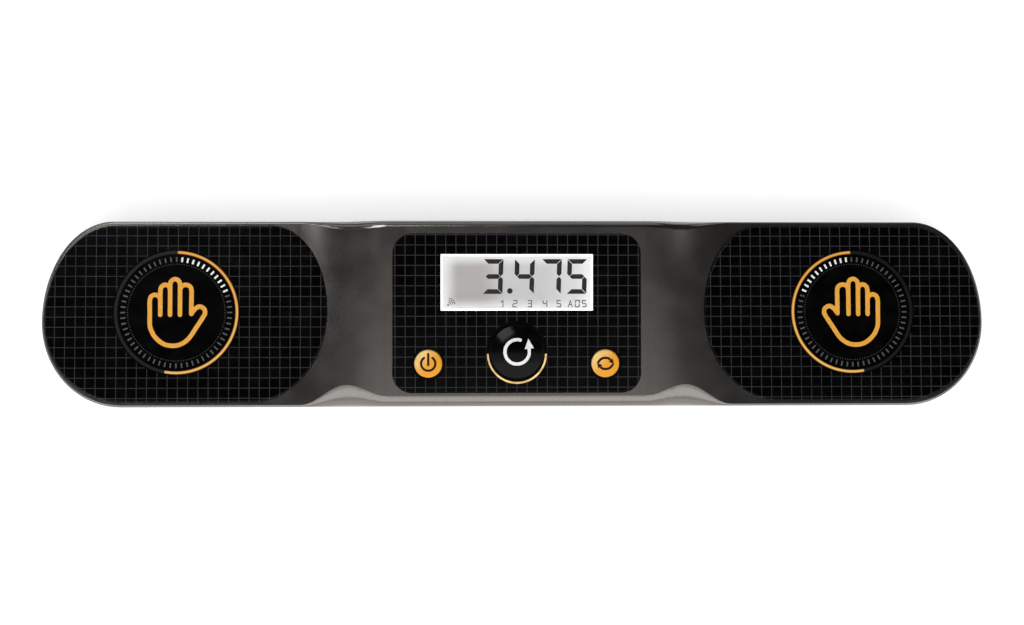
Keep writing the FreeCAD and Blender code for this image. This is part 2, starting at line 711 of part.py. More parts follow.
def make_top_housing():
    body = new_body("top_housing", many=True)
    block = grow(body, housing_outline(new_sketch(body, level=PARTING)), "pod_height")
    round_off(body, block, level_edges(block, RIM), "rim_round")
    gap = rectangle(new_sketch(body, level=PARTING), f"2 * {POD_BREAK}", "2 * overall_depth")
    cut(body, gap, "2 * pod_height", up=True)
    grow(body, bridge_section(body, "0", 1), f"2 * {CONSOLE_BREAK}", symmetric=True)
    for side, _ in SIDES:
        bridge_saddle(body, side)

    # hollow it from below, with a rebate for the lip of the bottom housing
    inside = housing_outline(new_sketch(body, level=PARTING), "wall")
    cavity = cut(body, inside, "pod_height - pod_roof", up=True)
    round_off(body, cavity, level_edges(cavity, CEILING), "cavity_round")
    rebate = housing_outline(new_sketch(body, level=PARTING), "wall - lip_wall - lip_clearance")
    cut(body, rebate, "lip_height + lip_clearance", up=True)

    # recesses for the touch pads, and stepped openings for the boards below them
    for side, _ in SIDES:
        recess = pad_outline(new_sketch(body, level=PAD_SEAT), side, "pad_gap")
        cut(body, recess, "console_level", up=True)
        middle = (f"{side} * {RING_ACROSS}", "ring_set")
        seat = circle(new_sketch(body, level=PAD_SEAT), "board_radius + board_gap", *middle)
        cut(body, seat, "board_thickness")
        opening = circle(new_sketch(body, level=PAD_SEAT), "board_radius - board_ledge", *middle)
        cut(body, opening, "pod_height")

    # recess and opening of the console, and the hollow below its ledge
    seat = new_sketch(body, level="-panel_thickness", tilted=True)
    cut(body, panel_outline(seat, "panel_gap"), "pod_height", up=True)
    opening = new_sketch(body, level="-panel_thickness", tilted=True)
    cut(body, rectangle(opening, OPENING_WIDTH, OPENING_DEPTH), "pod_height")
    hollow = new_sketch(body, level="-panel_thickness - ledge_thickness", tilted=True)
    width = f"{OPENING_WIDTH} + 2 * hollow_margin"
    rectangle(hollow, width, "panel_depth", radius="panel_corner")
    cut(body, hollow, "pod_height")

    # screw bosses that hang from the ceiling, and the hole of the data jack
    bosses = circles(new_sketch(body, level=PARTING), screw_places(), "boss_radius")
    grow(body, bosses, "pod_height - pod_roof")
    holes = circles(new_sketch(body, level=PARTING), screw_places(), "screw_radius + thread_gap")
    cut(body, holes, "screw_bite + screw_spare", up=True)
    jack = new_sketch(body, "XZ_Plane", "-overall_depth")
    circle(jack, "jack_nose + jack_gap", "jack_across", "jack_height")
    cut(body, jack, f"{BACK} + wall + jack_setback", up=True)


# ---------------------------------------------------------------------------
# Bottom housing: a tray with the battery bay, the screw seats and the feet
# ---------------------------------------------------------------------------

CELL_AXIS = "(foot_drop + door_thickness + cell_gap + cell_radius)"
BAY_HALF_LENGTH = "((cell_length + nub_length) / 2 + contact_room)"
BAY_HALF_DEPTH = "(2 * cell_radius + 1.5 * cell_gap)"
BAY_TOP = f"({CELL_AXIS} + cell_radius + cell_gap)"
HATCH_LENGTH = f"(2 * ({BAY_HALF_LENGTH} + door_ledge))"
HATCH_DEPTH = f"(2 * ({BAY_HALF_DEPTH} + door_ledge))"
DOOR_TOP = "(foot_drop + door_thickness)"
JACK_BOARD_TOP = "(jack_height - jack_width / 2)"


def foot_places():
    """The middles of the rubber feet."""
    across, along = f"({TIP} - foot_inset)", f"({BACK} - foot_edge)"
    return [(f"{side} * {across}", f"{row} * {along}") for side in (-1, 1) for row in (-1, 1)]


def jack_posts():
    """Two posts that carry the board of the data jack."""
    middle = f"{BACK} - wall - jack_setback - jack_length / 2"
    return [(f"jack_across + {side} * jack_post_spread", middle) for side in (-1, 1)]


def make_bottom_housing():
    body = new_body("bottom_housing")
    block = grow(body, housing_outline(new_sketch(body, level="foot_drop")), "base_height")
    round_off(body, block, level_edges(block, "foot_drop"), "base_round")
    cut(body, housing_outline(new_sketch(body, level=PARTING), "wall"), "base_height - base_floor")

    # locating lip
    lip = new_sketch(body, level=PARTING)
    housing_outline(lip, "wall - lip_wall")
    housing_outline(lip, "wall")
    grow(body, lip, "lip_height")

    # screw seats and posts
    seats = circles(new_sketch(body, level=FLOOR), screw_places(), "boss_radius")
    grow(body, seats, "base_height - base_floor")
    through = circles(new_sketch(body, level=PARTING), screw_places(), "screw_radius + screw_clearance")
    cut(body, through, "base_height")
    heads = circles(new_sketch(body, level="foot_drop"), screw_places(), "screw_head + screw_clearance")
    cut(body, heads, "seat_height", up=True)
    posts = circles(new_sketch(body, level=FLOOR), jack_posts(), "jack_post_radius")
    grow(body, posts, f"{JACK_BOARD_TOP} - board_thickness - {FLOOR}")

    # battery bay: plinth, box, hollow, hatch, slots for the tabs and the latch
    plinth = new_sketch(body, level="foot_drop")
    rectangle(plinth, f"{HATCH_LENGTH} + 2 * bay_margin", f"{HATCH_DEPTH} + 2 * bay_margin")
    grow(body, plinth, "bay_plinth")
    box = new_sketch(body, level="foot_drop")
    rectangle(box, f"2 * ({BAY_HALF_LENGTH} + bay_wall)", f"2 * ({BAY_HALF_DEPTH} + bay_wall)")
    grow(body, box, f"{BAY_TOP} + bay_roof - foot_drop")
    hollow = new_sketch(body, level="foot_drop")
    rectangle(hollow, f"2 * {BAY_HALF_LENGTH}", f"2 * {BAY_HALF_DEPTH}")
    cut(body, hollow, f"{BAY_TOP} - foot_drop", up=True)
    hatch = new_sketch(body, level="foot_drop")
    rectangle(hatch, HATCH_LENGTH, HATCH_DEPTH, radius="door_corner")
    cut(body, hatch, "door_thickness", up=True)
    tabs = new_sketch(body, level=DOOR_TOP)
    for row in (-1, 1):
        reach = f"({HATCH_LENGTH} / 2 - {BAY_HALF_LENGTH} + tab_reach + 2 * door_gap)"
        middle = f"{BAY_HALF_LENGTH} + {reach} / 2"
        rectangle(tabs, reach, "tab_width + 2 * door_gap", middle, f"{row} * tab_spread")
    cut(body, tabs, "tab_swing", up=True)
    latch = new_sketch(body, level=DOOR_TOP)
    reach = "(door_ledge + latch_room)"
    rectangle(latch, reach, "latch_width + 2 * door_gap", f"-{BAY_HALF_LENGTH} - {reach} / 2")
    cut(body, latch, "latch_height + latch_room", up=True)
    finger = new_sketch(body, level="foot_drop")
    width = "latch_width + 2 * door_gap"
    rectangle(finger, "2 * finger_depth", width, f"-{HATCH_LENGTH} / 2", radius="door_corner")
    cut(body, finger, "door_thickness", up=True)

    # recesses of the rubber feet
    recesses = new_sketch(body, level="foot_drop")
    length, width = "foot_length + 2 * rest_gap", "foot_width + 2 * rest_gap"
    for x, y in foot_places():
        rectangle(recesses, length, width, x, y, "foot_corner")
    cut(body, recesses, "foot_recess", up=True)


# ---------------------------------------------------------------------------
# Touch pads, light rings and touch boards
# ---------------------------------------------------------------------------


def make_pod_pieces(side, name):
    middle = (f"{side} * {RING_ACROSS}", "ring_set")

    pad = new_body(f"{name}_touch_pad")
    slab = grow(pad, pad_outline(new_sketch(pad, level=PAD_SEAT), side), "pad_thickness")
    round_off(pad, slab, level_edges(slab, PAD_FACE), "pad_edge")
    groove = new_sketch(pad, level=PAD_FACE)
    for edge in ("ring_radius - ring_width / 2 - rest_gap", "ring_radius + ring_width / 2 + rest_gap"):
        circle(groove, edge, *middle)
    cut(pad, groove, "ring_depth")

    ring = new_body(f"{name}_light_ring")
    band = new_sketch(ring, level=PAD_FACE)
    for edge in ("ring_radius - ring_width / 2", "ring_radius + ring_width / 2"):
        circle(band, edge, *middle)
    grow(ring, band, "ring_depth", down=True)

    board = new_body(f"{name}_touch_board")
    disc = circle(new_sketch(board), "board_radius")
    grow(board, disc, "board_thickness", down=True)
    window = cut(board, circle(new_sketch(board), "led_window", "led_circle"), "board_thickness")
    ring_of(board, window, "led_count")
    place(board, *middle, PAD_SEAT, turned="180 / led_count")

    leds = new_body(f"{name}_ring_leds", many=True)
    square = rectangle(new_sketch(leds), "led_size", "led_size", "led_circle")
    led = grow(leds, square, "led_height", down=True)
    ring_of(leds, led, "led_count")
    place(leds, *middle, f"{PAD_SEAT} - board_thickness", turned="180 / led_count")

    # flat cable: from its socket on the main board, below the ceiling, up to the touch board
    cable = new_body(f"{name}_flex_cable")
    low = f"{CEILING} - flex_drop"
    near = "console_level - board_drop - board_thickness - flex_lift"
    far = f"{PAD_SEAT} - board_thickness"
    outer = f"{RING_ACROSS} - board_radius + board_ledge"
    top_line = [
        (f"{BOARD_WIDTH} / 2 - socket_margin", near),
        (f"{BOARD_WIDTH} / 2 + flex_run", low),
        (f"{outer} + flex_bend", low),
        (f"{outer} + 2 * flex_bend", far),
        (f"{outer} + 2 * flex_bend + flex_overlap", far),
    ]
    under_line = [(x, f"{z} - flex_thickness") for x, z in reversed(top_line)]
    strip = new_sketch(cable, "XZ_Plane", "-ring_set")
    polygon(strip, [(f"{side} * ({x})", z) for x, z in top_line + under_line])
    grow(cable, strip, "flex_width", symmetric=True)


# ---------------------------------------------------------------------------
# Console: panel, display, lights, buttons and switches
# ---------------------------------------------------------------------------

PANEL_BACK = "(-panel_thickness)"
BOARD_TOP = "(-board_drop)"
BOARD_BACK = "(-board_drop - board_thickness)"
WINDOW_WIDTH = "(panel_width_rear - 2 * window_inset)"
GLASS_WIDTH = f"({WINDOW_WIDTH} + 2 * glass_margin)"
GLASS_DEPTH = "(window_depth + 2 * glass_margin)"
SMALL_CAP = ("small_button_radius", "small_button_proud", "small_button_dome")
RESET_CAP = ("reset_button_radius", "reset_button_proud", "reset_button_dome")
BUTTONS = {
    "power": (f"-{SIDE_BUTTON}", "-small_button_set", *SMALL_CAP),
    "mode": (SIDE_BUTTON, "-small_button_set", *SMALL_CAP),
    "reset": ("0", "-reset_button_set", *RESET_CAP),
}
FLANGE_TOP = f"({PANEL_BACK} - rest_gap)"
FLANGE_BACK = f"({FLANGE_TOP} - button_flange_height)"
SWITCH_TOP = f"({FLANGE_BACK} - button_travel - switch_gap)"
STEM_BACK = f"({FLANGE_BACK} - stem_length)"


def make_panel():
    body = new_body("console_panel")
    slab = grow(body, panel_outline(new_sketch(body, level=PANEL_BACK)), "panel_thickness")
    round_off(body, slab, level_edges(slab, "0"), "panel_edge")
    holes = new_sketch(body, level="0")
    width, depth = f"{WINDOW_WIDTH} + 2 * window_gap", "window_depth + 2 * window_gap"
    rectangle(holes, width, depth, "0", "window_set")
    for x, y, radius, *_ in BUTTONS.values():
        circle(holes, f"{radius} + button_gap", x, y)
    half_ring(holes, "arc_radius", "arc_width + 2 * rest_gap", "-arc_set")
    cut(body, holes, "panel_thickness")
    posts = circles(new_sketch(body, level=PANEL_BACK), post_places(), "post_radius")
    grow(body, posts, "board_drop - panel_thickness", down=True)
    bores = circles(new_sketch(body, level=BOARD_TOP), post_places(), "small_screw_radius + thread_gap")
    cut(body, bores, "small_screw_bite + small_screw_spare", up=True)
    place_on_console(body)


def make_display():
    def centred(width, depth):
        return lambda sketch: rectangle(sketch, width, depth, "0", "window_set")

    window = plate("display_window", centred(WINDOW_WIDTH, "window_depth"), "0", "panel_thickness")
    glass = plate("display_glass", centred(GLASS_WIDTH, GLASS_DEPTH), PANEL_BACK, "glass_thickness")
    glow = plate(
        "display_backlight",
        centred(GLASS_WIDTH, GLASS_DEPTH),
        f"{PANEL_BACK} - glass_thickness",
        "backlight_thickness",
    )
    frame = new_body("display_frame")
    outside = new_sketch(frame, level=PANEL_BACK)
    inside = new_sketch(frame, level=PANEL_BACK)
    centred(f"{GLASS_WIDTH} + 2 * frame_wall", f"{GLASS_DEPTH} + 2 * frame_wall")(outside)
    centred(f"{GLASS_WIDTH} + 2 * rest_gap", f"{GLASS_DEPTH} + 2 * rest_gap")(inside)
    grow(frame, outside, "board_drop - panel_thickness", down=True)
    cut(frame, inside, "glass_thickness + backlight_thickness")
    for body in (window, glass, glow, frame):
        place_on_console(body)


def make_light_arc():
    body = new_body("console_light_arc")
    band = half_ring(new_sketch(body), "arc_radius", "arc_width", "-arc_set")
    grow(body, band, "panel_thickness", down=True)
    place_on_console(body)


def make_button(name, x, y, radius, proud, dome):
    """A turned cap with a flange behind the panel, its tact switch and the switch's stem."""
    cap = new_body(f"{name}_button_cap")
    reach = f"({radius} + button_flange)"
    corners = [
        ("0", FLANGE_BACK),
        (reach, FLANGE_BACK),
        (reach, FLANGE_TOP),
        (radius, FLANGE_TOP),
        (radius, proud),
    ]
    profile = new_sketch(cap, "XZ_Plane")
    solid = turn(cap, crowned_profile(profile, corners, f"{proud} + {dome}"))
    round_off(cap, solid, level_edges(solid, proud), "button_round")
    place_on_console(cap, x, y)

    stem = new_body(f"{name}_switch_stem")
    pin_end = circle(new_sketch(stem, level=FLANGE_BACK), "stem_radius")
    grow(stem, pin_end, "stem_length", down=True)
    place_on_console(stem, x, y)

    switch = new_body(f"{name}_switch")
    block = rectangle(new_sketch(switch, level=BOARD_TOP), "switch_size", "switch_size")
    grow(switch, block, f"{SWITCH_TOP} - {BOARD_TOP}")
    bore = circle(new_sketch(switch, level=SWITCH_TOP), "stem_radius + stem_gap")
    cut(switch, bore, f"{SWITCH_TOP} - {STEM_BACK} + button_travel + switch_gap")
    place_on_console(switch, x, y)


def make_main_board():
    board = new_body("main_board")
    slab = new_sketch(board, level=BOARD_TOP)
    rectangle(slab, BOARD_WIDTH, BOARD_DEPTH, radius="board_corner")
    grow(board, slab, "board_thickness", down=True)
    holes = circles(new_sketch(board, level=BOARD_TOP), post_places(), "small_screw_radius + thread_gap")
    cut(board, holes, "board_thickness")
    place_on_console(board)

    for name, width, depth, height, x, y in (
        ("processor_chip", "chip_size", "chip_size", "chip_height", "-chip_across", "chip_set"),
        ("wireless_module", "radio_width", "radio_depth", "radio_height", "chip_across", "chip_set"),
    ):
        piece = plate(name, lambda sketch: rectangle(sketch, width, depth), BOARD_BACK, height)
        place_on_console(piece, x, y)

    sockets = new_body("flex_sockets", many=True)
    blocks = new_sketch(sockets, level=BOARD_BACK)
    for side, _ in SIDES:
        middle = f"{side} * ({BOARD_WIDTH} / 2 - socket_margin - socket_length / 2)"
        rectangle(blocks, "socket_length", "flex_width + 2 * socket_margin", middle)
    grow(sockets, blocks, "socket_height", down=True)
    place_on_console(sockets)

    screws = new_body("board_screws", many=True)
    shanks = circles(new_sketch(screws, level=BOARD_BACK), post_places(), "small_screw_radius")
    grow(screws, shanks, "board_thickness + small_screw_bite")
    heads = circles(new_sketch(screws, level=BOARD_BACK), post_places(), "small_screw_head")
    grow(screws, heads, "small_screw_head_height", down=True)
    drives = new_sketch(screws, level=f"{BOARD_BACK} - small_screw_head_height")
    for spot in post_places():
        cross(drives, "small_drive_span", "small_drive_width", *spot)
    cut(screws, drives, "small_drive_depth", up=True)
    place_on_console(screws)


# ---------------------------------------------------------------------------
# Power, data and sound
# ---------------------------------------------------------------------------


def make_cell(label, row, facing):
    """An AAA cell along X; facing is the side its nub points to."""
    cell = new_body(label)
    end, back = "(cell_length - nub_length) / 2", "-(cell_length + nub_length) / 2"
    profile = polygon(new_sketch(cell, "XZ_Plane"), [
        (f"{facing} * ({back})", "0"),
        (f"{facing} * ({back})", "cell_radius", "cell_round"),
        (f"{facing} * ({end})", "cell_radius", "cell_round"),
        (f"{facing} * ({end})", "nub_radius"),
        (f"{facing} * ({end} + nub_length)", "nub_radius"),
        (f"{facing} * ({end} + nub_length)", "0"),
    ])
    turn(cell, profile, "H_Axis")
    place(cell, "0", f"{row} * (cell_radius + cell_gap / 2)", CELL_AXIS)


def make_contacts():
    """One plate that joins the cells on the left, and one for each cell on the right."""
    body = new_body("battery_contacts", many=True)
    reach = "(contact_room - contact_thickness)"
    pitch = "(cell_radius + cell_gap / 2)"
    for side in (-1, 1):
        across = f"{side} * ({BAY_HALF_LENGTH} - contact_thickness)"
        plates = new_sketch(body, "YZ_Plane", across)
        nubs = new_sketch(body, "YZ_Plane", across)
        if side < 0:
            rectangle(plates, f"2 * {pitch} + contact_width", "contact_width", "0", CELL_AXIS)
        for row in (-1, 1):
            if side > 0:
                rectangle(plates, "contact_width", "contact_width", f"{row} * {pitch}", CELL_AXIS)
            circle(nubs, "nub_radius", f"{row} * {pitch}", CELL_AXIS)
        grow(body, plates, "contact_thickness", down=side < 0)
        grow(body, nubs, reach, down=side > 0)


def make_door():
    body = new_body("battery_door")
    half = f"({HATCH_LENGTH} / 2 - door_gap)"
    plate_sketch = new_sketch(body, level="foot_drop")
    rectangle(plate_sketch, f"2 * {half}", f"{HATCH_DEPTH} - 2 * door_gap", radius="door_corner")
    grow(body, plate_sketch, "door_thickness - rest_gap")
    face = f"({DOOR_TOP} - rest_gap)"
    hook = f"({DOOR_TOP} + tab_gap)"
    tip = f"({hook} + tab_thickness)"
    for row in (-1, 1):
        tab = new_sketch(body, "XZ_Plane", f"{row} * tab_spread")
        polygon(tab, [
            (f"{half} - tab_root", face),
            (half, face),
            (half, hook),
            (f"{half} + tab_reach", hook),
            (f"{half} + tab_reach", tip),
            (f"{half} - tab_root", tip),
        ])
        grow(body, tab, "tab_width", symmetric=True)
    latch = new_sketch(body, "XZ_Plane")
    outer = f"-({half} - latch_setback)"
    polygon(latch, [
        (f"{outer} + latch_thickness", face),
        (f"{outer} + latch_thickness", f"{face} + latch_height"),
        (outer, f"{face} + latch_height"),
        (f"{outer} - latch_catch", f"{face} + catch_height"),
        (outer, f"{face} + catch_height - catch_slope"),
        (outer, face),
    ])
    grow(body, latch, "latch_width", symmetric=True)


def make_jack():
    jack = new_body("data_jack")
    face = f"({BACK} - wall - jack_setback)"
    block = new_sketch(jack, "XZ_Plane", f"-{face}")
    rectangle(block, "jack_width", "jack_width", "jack_across", "jack_height")
    grow(jack, block, "jack_length")
    nose = circle(new_sketch(jack, "XZ_Plane", f"-{face}"), "jack_nose", "jack_across", "jack_height")
    grow(jack, nose, "wall + jack_setback", down=True)
    bore = new_sketch(jack, "XZ_Plane", f"-{BACK}")
    circle(bore, "jack_bore", "jack_across", "jack_height")
    cut(jack, bore, "jack_bore_depth", up=True)

    middle = f"({face} - jack_length / 2)"
    width = "2 * (jack_post_spread + jack_post_radius)"
    plate(
        "jack_board",
        lambda s: rectangle(s, width, "jack_length", "jack_across", middle),
        JACK_BOARD_TOP,
        "board_thickness",
    )
    plate(
        "buzzer",
        lambda s: circle(s, "buzzer_radius", "-buzzer_across", f"{BACK} - buzzer_inset"),
        f"{FLOOR} + buzzer_height",
        "buzzer_height",
    )


# ---------------------------------------------------------------------------
# Fasteners and feet
# ---------------------------------------------------------------------------


def make_screws():
    body = new_body("housing_screws", many=True)
    seat = "(foot_drop + seat_height)"
    shanks = circles(new_sketch(body, level=seat), screw_places(), "screw_radius")
    grow(body, shanks, f"{PARTING} - {seat} + screw_bite")
    heads = circles(new_sketch(body, level=seat), screw_places(), "screw_head")
    discs = grow(body, heads, "screw_head_height", down=True)
    end = f"({seat} - screw_head_height)"
    round_off(body, discs, level_edges(discs, end), "screw_head_round")
    drives = new_sketch(body, level=end)
    for spot in screw_places():
        cross(drives, "drive_span", "drive_width", *spot)
    cut(body, drives, "drive_depth", up=True)


def make_feet():
    body = new_body("rubber_feet", many=True)
    sketch = new_sketch(body)
    for x, y in foot_places():
        rectangle(sketch, "foot_length", "foot_width", x, y, "foot_corner")
    pads = grow(body, sketch, "foot_drop + foot_recess")
    round_off(body, pads, level_edges(pads, "0"), "foot_round")


make_top_housing()
make_bottom_housing()
for side_sign, side_name in SIDES:
    make_pod_pieces(side_sign, side_name)
make_panel()
make_display()
make_light_arc()
for button_name, button_spec in BUTTONS.items():
    make_button(button_name, *button_spec)
make_main_board()
make_cell("front_battery_cell", -1, 1)
make_cell("rear_battery_cell", 1, -1)
make_contacts()
make_door()
make_jack()
make_screws()
make_feet()

# ---------------------------------------------------------------------------
# Check every object, then write one file for each piece
# ---------------------------------------------------------------------------

doc.recompute()
for item in doc.Objects:
    if {"Invalid", "Error"} & set(item.State):
        raise RuntimeError(f"{item.Label} did not recompute: {item.State}")

bodies = [item for item in doc.Objects if item.TypeId == "PartDesign::Body"]
os.makedirs("parts", exist_ok=True)
for body in bodies:
    if body.Shape.isNull() or not body.Shape.isValid() or not body.Shape.Solids:
        raise RuntimeError(f"{body.Label} has no valid shape")
for body in bodies:
    body.Shape.exportStep(f"parts/{body.Label}.step")
    print(f"{body.Label}: {len(body.Shape.Solids)} solid(s), {body.Shape.Volume:.1f} mm3")
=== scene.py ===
import json
import math

import bmesh
import bpy
from mathutils import Matrix, Vector
from mathutils.bvhtree import BVHTree
from mathutils.geometry import delaunay_2d_cdt


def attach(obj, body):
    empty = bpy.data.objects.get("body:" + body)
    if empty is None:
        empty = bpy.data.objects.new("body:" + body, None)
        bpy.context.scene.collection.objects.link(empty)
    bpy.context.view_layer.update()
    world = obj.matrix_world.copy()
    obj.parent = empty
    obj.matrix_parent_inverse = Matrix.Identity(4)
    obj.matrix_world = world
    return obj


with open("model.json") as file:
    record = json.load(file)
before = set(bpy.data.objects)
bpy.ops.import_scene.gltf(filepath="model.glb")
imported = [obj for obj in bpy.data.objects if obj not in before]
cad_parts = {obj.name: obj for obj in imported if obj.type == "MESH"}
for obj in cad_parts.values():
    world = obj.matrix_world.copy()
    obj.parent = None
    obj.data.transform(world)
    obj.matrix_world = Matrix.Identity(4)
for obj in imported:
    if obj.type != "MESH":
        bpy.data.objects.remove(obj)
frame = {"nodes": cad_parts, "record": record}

# Speed cube timer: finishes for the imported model, its printed graphics, and the studio.
# Lengths are written in millimetres and multiplied by MM; the studio's are in metres.
# Seen from the front, X runs to the right, Y to the back and Z up.

MM = 0.001

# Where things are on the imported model.
CONSOLE_LEVEL = 21.5
CONSOLE_TILT = math.radians(4.0)
RING_X, RING_Y, RING_RADIUS = 100.4, 0.4, 17.8
SMALL_BUTTON_X, SMALL_BUTTON_Y = 26.2, -14.9
RESET_Y = -11.4
WINDOW_Y, WINDOW_WIDTH, WINDOW_DEPTH = 9.2, 45.0, 16.6

# The printed grid: its pitch, the places of one line each way, how far from its
# middle a line begins to fade and ends, and the plain discs that it leaves out.
GRID_PITCH = 3.0
GRID_Y = -0.9
PAD_GRID_X, PANEL_GRID_X = 0.95, 0.0
LINE_FADE, LINE_EDGE = 0.05, 0.18
PAD_DISC, SMALL_DISC, RESET_DISC = 18.7, 4.9, 9.1
DISC_EDGE = 0.15

# Distances from the window's edge: where the display's bright border fades out, and
# how far the field inside it is paler, at its sides and at its front and back.
BORDER = (0.42, 0.62)
SIDE_LIGHT, END_LIGHT = (-0.5, 5.5), (-0.5, 4.2)

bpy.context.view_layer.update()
nodes = frame["nodes"]


def tone(red, green, blue):
    """A colour by how it looks on a screen, from 0 to 255."""
    def linear(part):
        part /= 255
        return part / 12.92 if part <= 0.04045 else ((part + 0.055) / 1.055) ** 2.4
    return (linear(red), linear(green), linear(blue), 1.0)


WHITE = (1, 1, 1, 1)
BLACK = (0, 0, 0, 1)

# ---------------------------------------------------------------------------
# Node arithmetic
# ---------------------------------------------------------------------------


class Nodes:
    """Nodes of one tree, and the arithmetic between them."""

    def __init__(self, tree):
        self.tree = tree

    def node(self, kind, **settings):
        made = self.tree.nodes.new(kind)
        for key, amount in settings.items():
            setattr(made, key, amount)
        return made

    def feed(self, socket, source):
        """Links an output to the socket, or sets the socket to an amount."""
        if isinstance(source, bpy.types.NodeSocket):
            self.tree.links.new(source, socket)
        else:
            socket.default_value = source

    def calc(self, operation, *sources):
        made = self.node("ShaderNodeMath", operation=operation)
        for socket, source in zip(made.inputs, sources):
            self.feed(socket, source)
        return made.outputs[0]

    def apart(self, vector):
        """The three parts of a vector."""
        made = self.node("ShaderNodeSeparateXYZ")
        self.feed(made.inputs[0], vector)
        return made.outputs

    def span(self, source, low, high, first=0.0, last=1.0):
        """Takes low to high in the source to first to last, smoothly and no further."""
        made = self.node("ShaderNodeMapRange", interpolation_type="SMOOTHSTEP")
        for socket, amount in zip(made.inputs, (source, low, high, first, last)):
            self.feed(socket, amount)
        return made.outputs[0]

    def mix(self, share, first, second):
        """The first colour where the share is 0, and the second where it is 1."""
        made = self.node("ShaderNodeMix", data_type="RGBA")
        factor, colour_a, colour_b = (made.inputs[number] for number in (0, 6, 7))
        self.feed(factor, share)
        self.feed(colour_a, first)
        self.feed(colour_b, second)
        return made.outputs[2]

    def seen_by(self, *kinds):
        """1 for rays of the given kinds, and 0 for all others."""
        path = self.node("ShaderNodeLightPath").outputs
        seen = path[f"Is {kinds[0]} Ray"]
        for kind in kinds[1:]:
            seen = self.calc("MAXIMUM", seen, path[f"Is {kind} Ray"])
        return seen


class Finish(Nodes):
    """A Principled material, placed by the object's own coordinates."""

    def __init__(self, name, **settings):
        self.material = bpy.data.materials.new(name)
        self.material.use_nodes = True
        super().__init__(self.material.node_tree)
        self.shader = self.tree.nodes["Principled BSDF"]
        self.set(**settings)
        self.place = self.node("ShaderNodeTexCoord").outputs["Object"]
        self.x, self.y, _ = self.apart(self.place)

    def set(self, **sources):
        """Feeds inputs of the shader, named with underscores for spaces."""
        for key, source in sources.items():
            self.feed(self.shader.inputs[key.replace("_", " ")], source)

    def noise(self, size, detail=2.0, squeeze=(1, 1, 1)):
        """Noise about 0.5, with blotches of the given size in millimetres."""
        scaled = self.node("ShaderNodeMapping")
        self.feed(scaled.inputs["Vector"], self.place)
        scaled.inputs["Scale"].default_value = squeeze
        made = self.node("ShaderNodeTexNoise")
        self.feed(made.inputs["Vector"], scaled.outputs[0])
        made.inputs["Scale"].default_value = 1 / (size * MM)
        made.inputs["Detail"].default_value = detail
        return made.outputs["Fac"]

    def patches(self, size, detail, low=0.3, high=0.7, first=0.0, last=1.0, squeeze=(1, 1, 1)):
        """Noise spread out: first where it is below low, last where it is above high."""
        return self.span(self.noise(size, detail, squeeze), low, high, first, last)

    def cells(self, size):
        """Distance to the nearest of many scattered points, the given size apart."""
        made = self.node("ShaderNodeTexVoronoi")
        self.feed(made.inputs["Vector"], self.place)
        made.inputs["Scale"].default_value = 1 / (size * MM)
        return made.outputs["Distance"]

    def edges(self, radius):
        """1 along outside edges, where handling wears a surface, and 0 on flat faces."""
        rounded = self.node("ShaderNodeBevel", samples=4)
        rounded.inputs["Radius"].default_value = radius * MM
        geometry = self.node("ShaderNodeNewGeometry")
        together = self.node("ShaderNodeVectorMath", operation="DOT_PRODUCT")
        self.feed(together.inputs[0], rounded.outputs[0])
        self.feed(together.inputs[1], geometry.outputs["Normal"])
        return self.span(self.calc("SUBTRACT", 1.0, together.outputs["Value"]), 0.02, 0.2)

    def bump(self, height, depth, strength):
        """Relief of the given depth in millimetres."""
        made = self.node("ShaderNodeBump")
        made.inputs["Strength"].default_value = strength
        made.inputs["Distance"].default_value = depth * MM
        self.feed(made.inputs["Height"], height)
        self.feed(self.shader.inputs["Normal"], made.outputs[0])

    def reach(self, x, y, middle_x, middle_y):
        """Distance from an upright line, given x and y in metres and the line in millimetres."""
        across = self.calc("SUBTRACT", x, middle_x * MM)
        along = self.calc("SUBTRACT", y, middle_y * MM)
        return self.calc("SQRT", self.calc("ADD", self.calc("MULTIPLY", across, across),
                                           self.calc("MULTIPLY", along, along)))

    def ruled(self, x, y, first_x, first_y):
        """1 on the printed grid's lines and 0 between them."""
        lines = []
        for along, first in ((x, first_x), (y, first_y)):
            low, high = (first - GRID_PITCH / 2) * MM, (first + GRID_PITCH / 2) * MM
            folded = self.calc("WRAP", along, high, low)
            off = self.calc("ABSOLUTE", self.calc("SUBTRACT", folded, first * MM))
            lines.append(self.span(off, LINE_FADE * MM, LINE_EDGE * MM, 1.0, 0.0))
        return self.calc("MAXIMUM", *lines)


# ---------------------------------------------------------------------------
# Finishes
# ---------------------------------------------------------------------------


def housing_paint():
    """Gunmetal paint: fine flakes under a satin coat, a little polished along the edges."""
    made = Finish("gunmetal_paint", Metallic=0.97, Coat_Weight=0.05, Coat_Roughness=0.35)
    flakes = made.patches(0.16, 1.0, 0.35, 0.65)
    base = made.mix(flakes, tone(113, 110, 107), tone(127, 123, 119))
    drift = made.calc("MULTIPLY", made.patches(22, 3.0), 0.3)
    base = made.mix(drift, base, tone(112, 109, 105))
    worn = made.calc("MULTIPLY", made.edges(0.35), made.patches(3.5, 4.0, 0.45, 0.7))
    base = made.mix(made.calc("MULTIPLY", worn, 0.5), base, tone(170, 167, 163))
    made.set(Base_Color=base, Roughness=made.patches(9.0, 3.0, first=0.18, last=0.22))
    made.bump(made.noise(0.22), 0.006, 0.2)
    return made.material


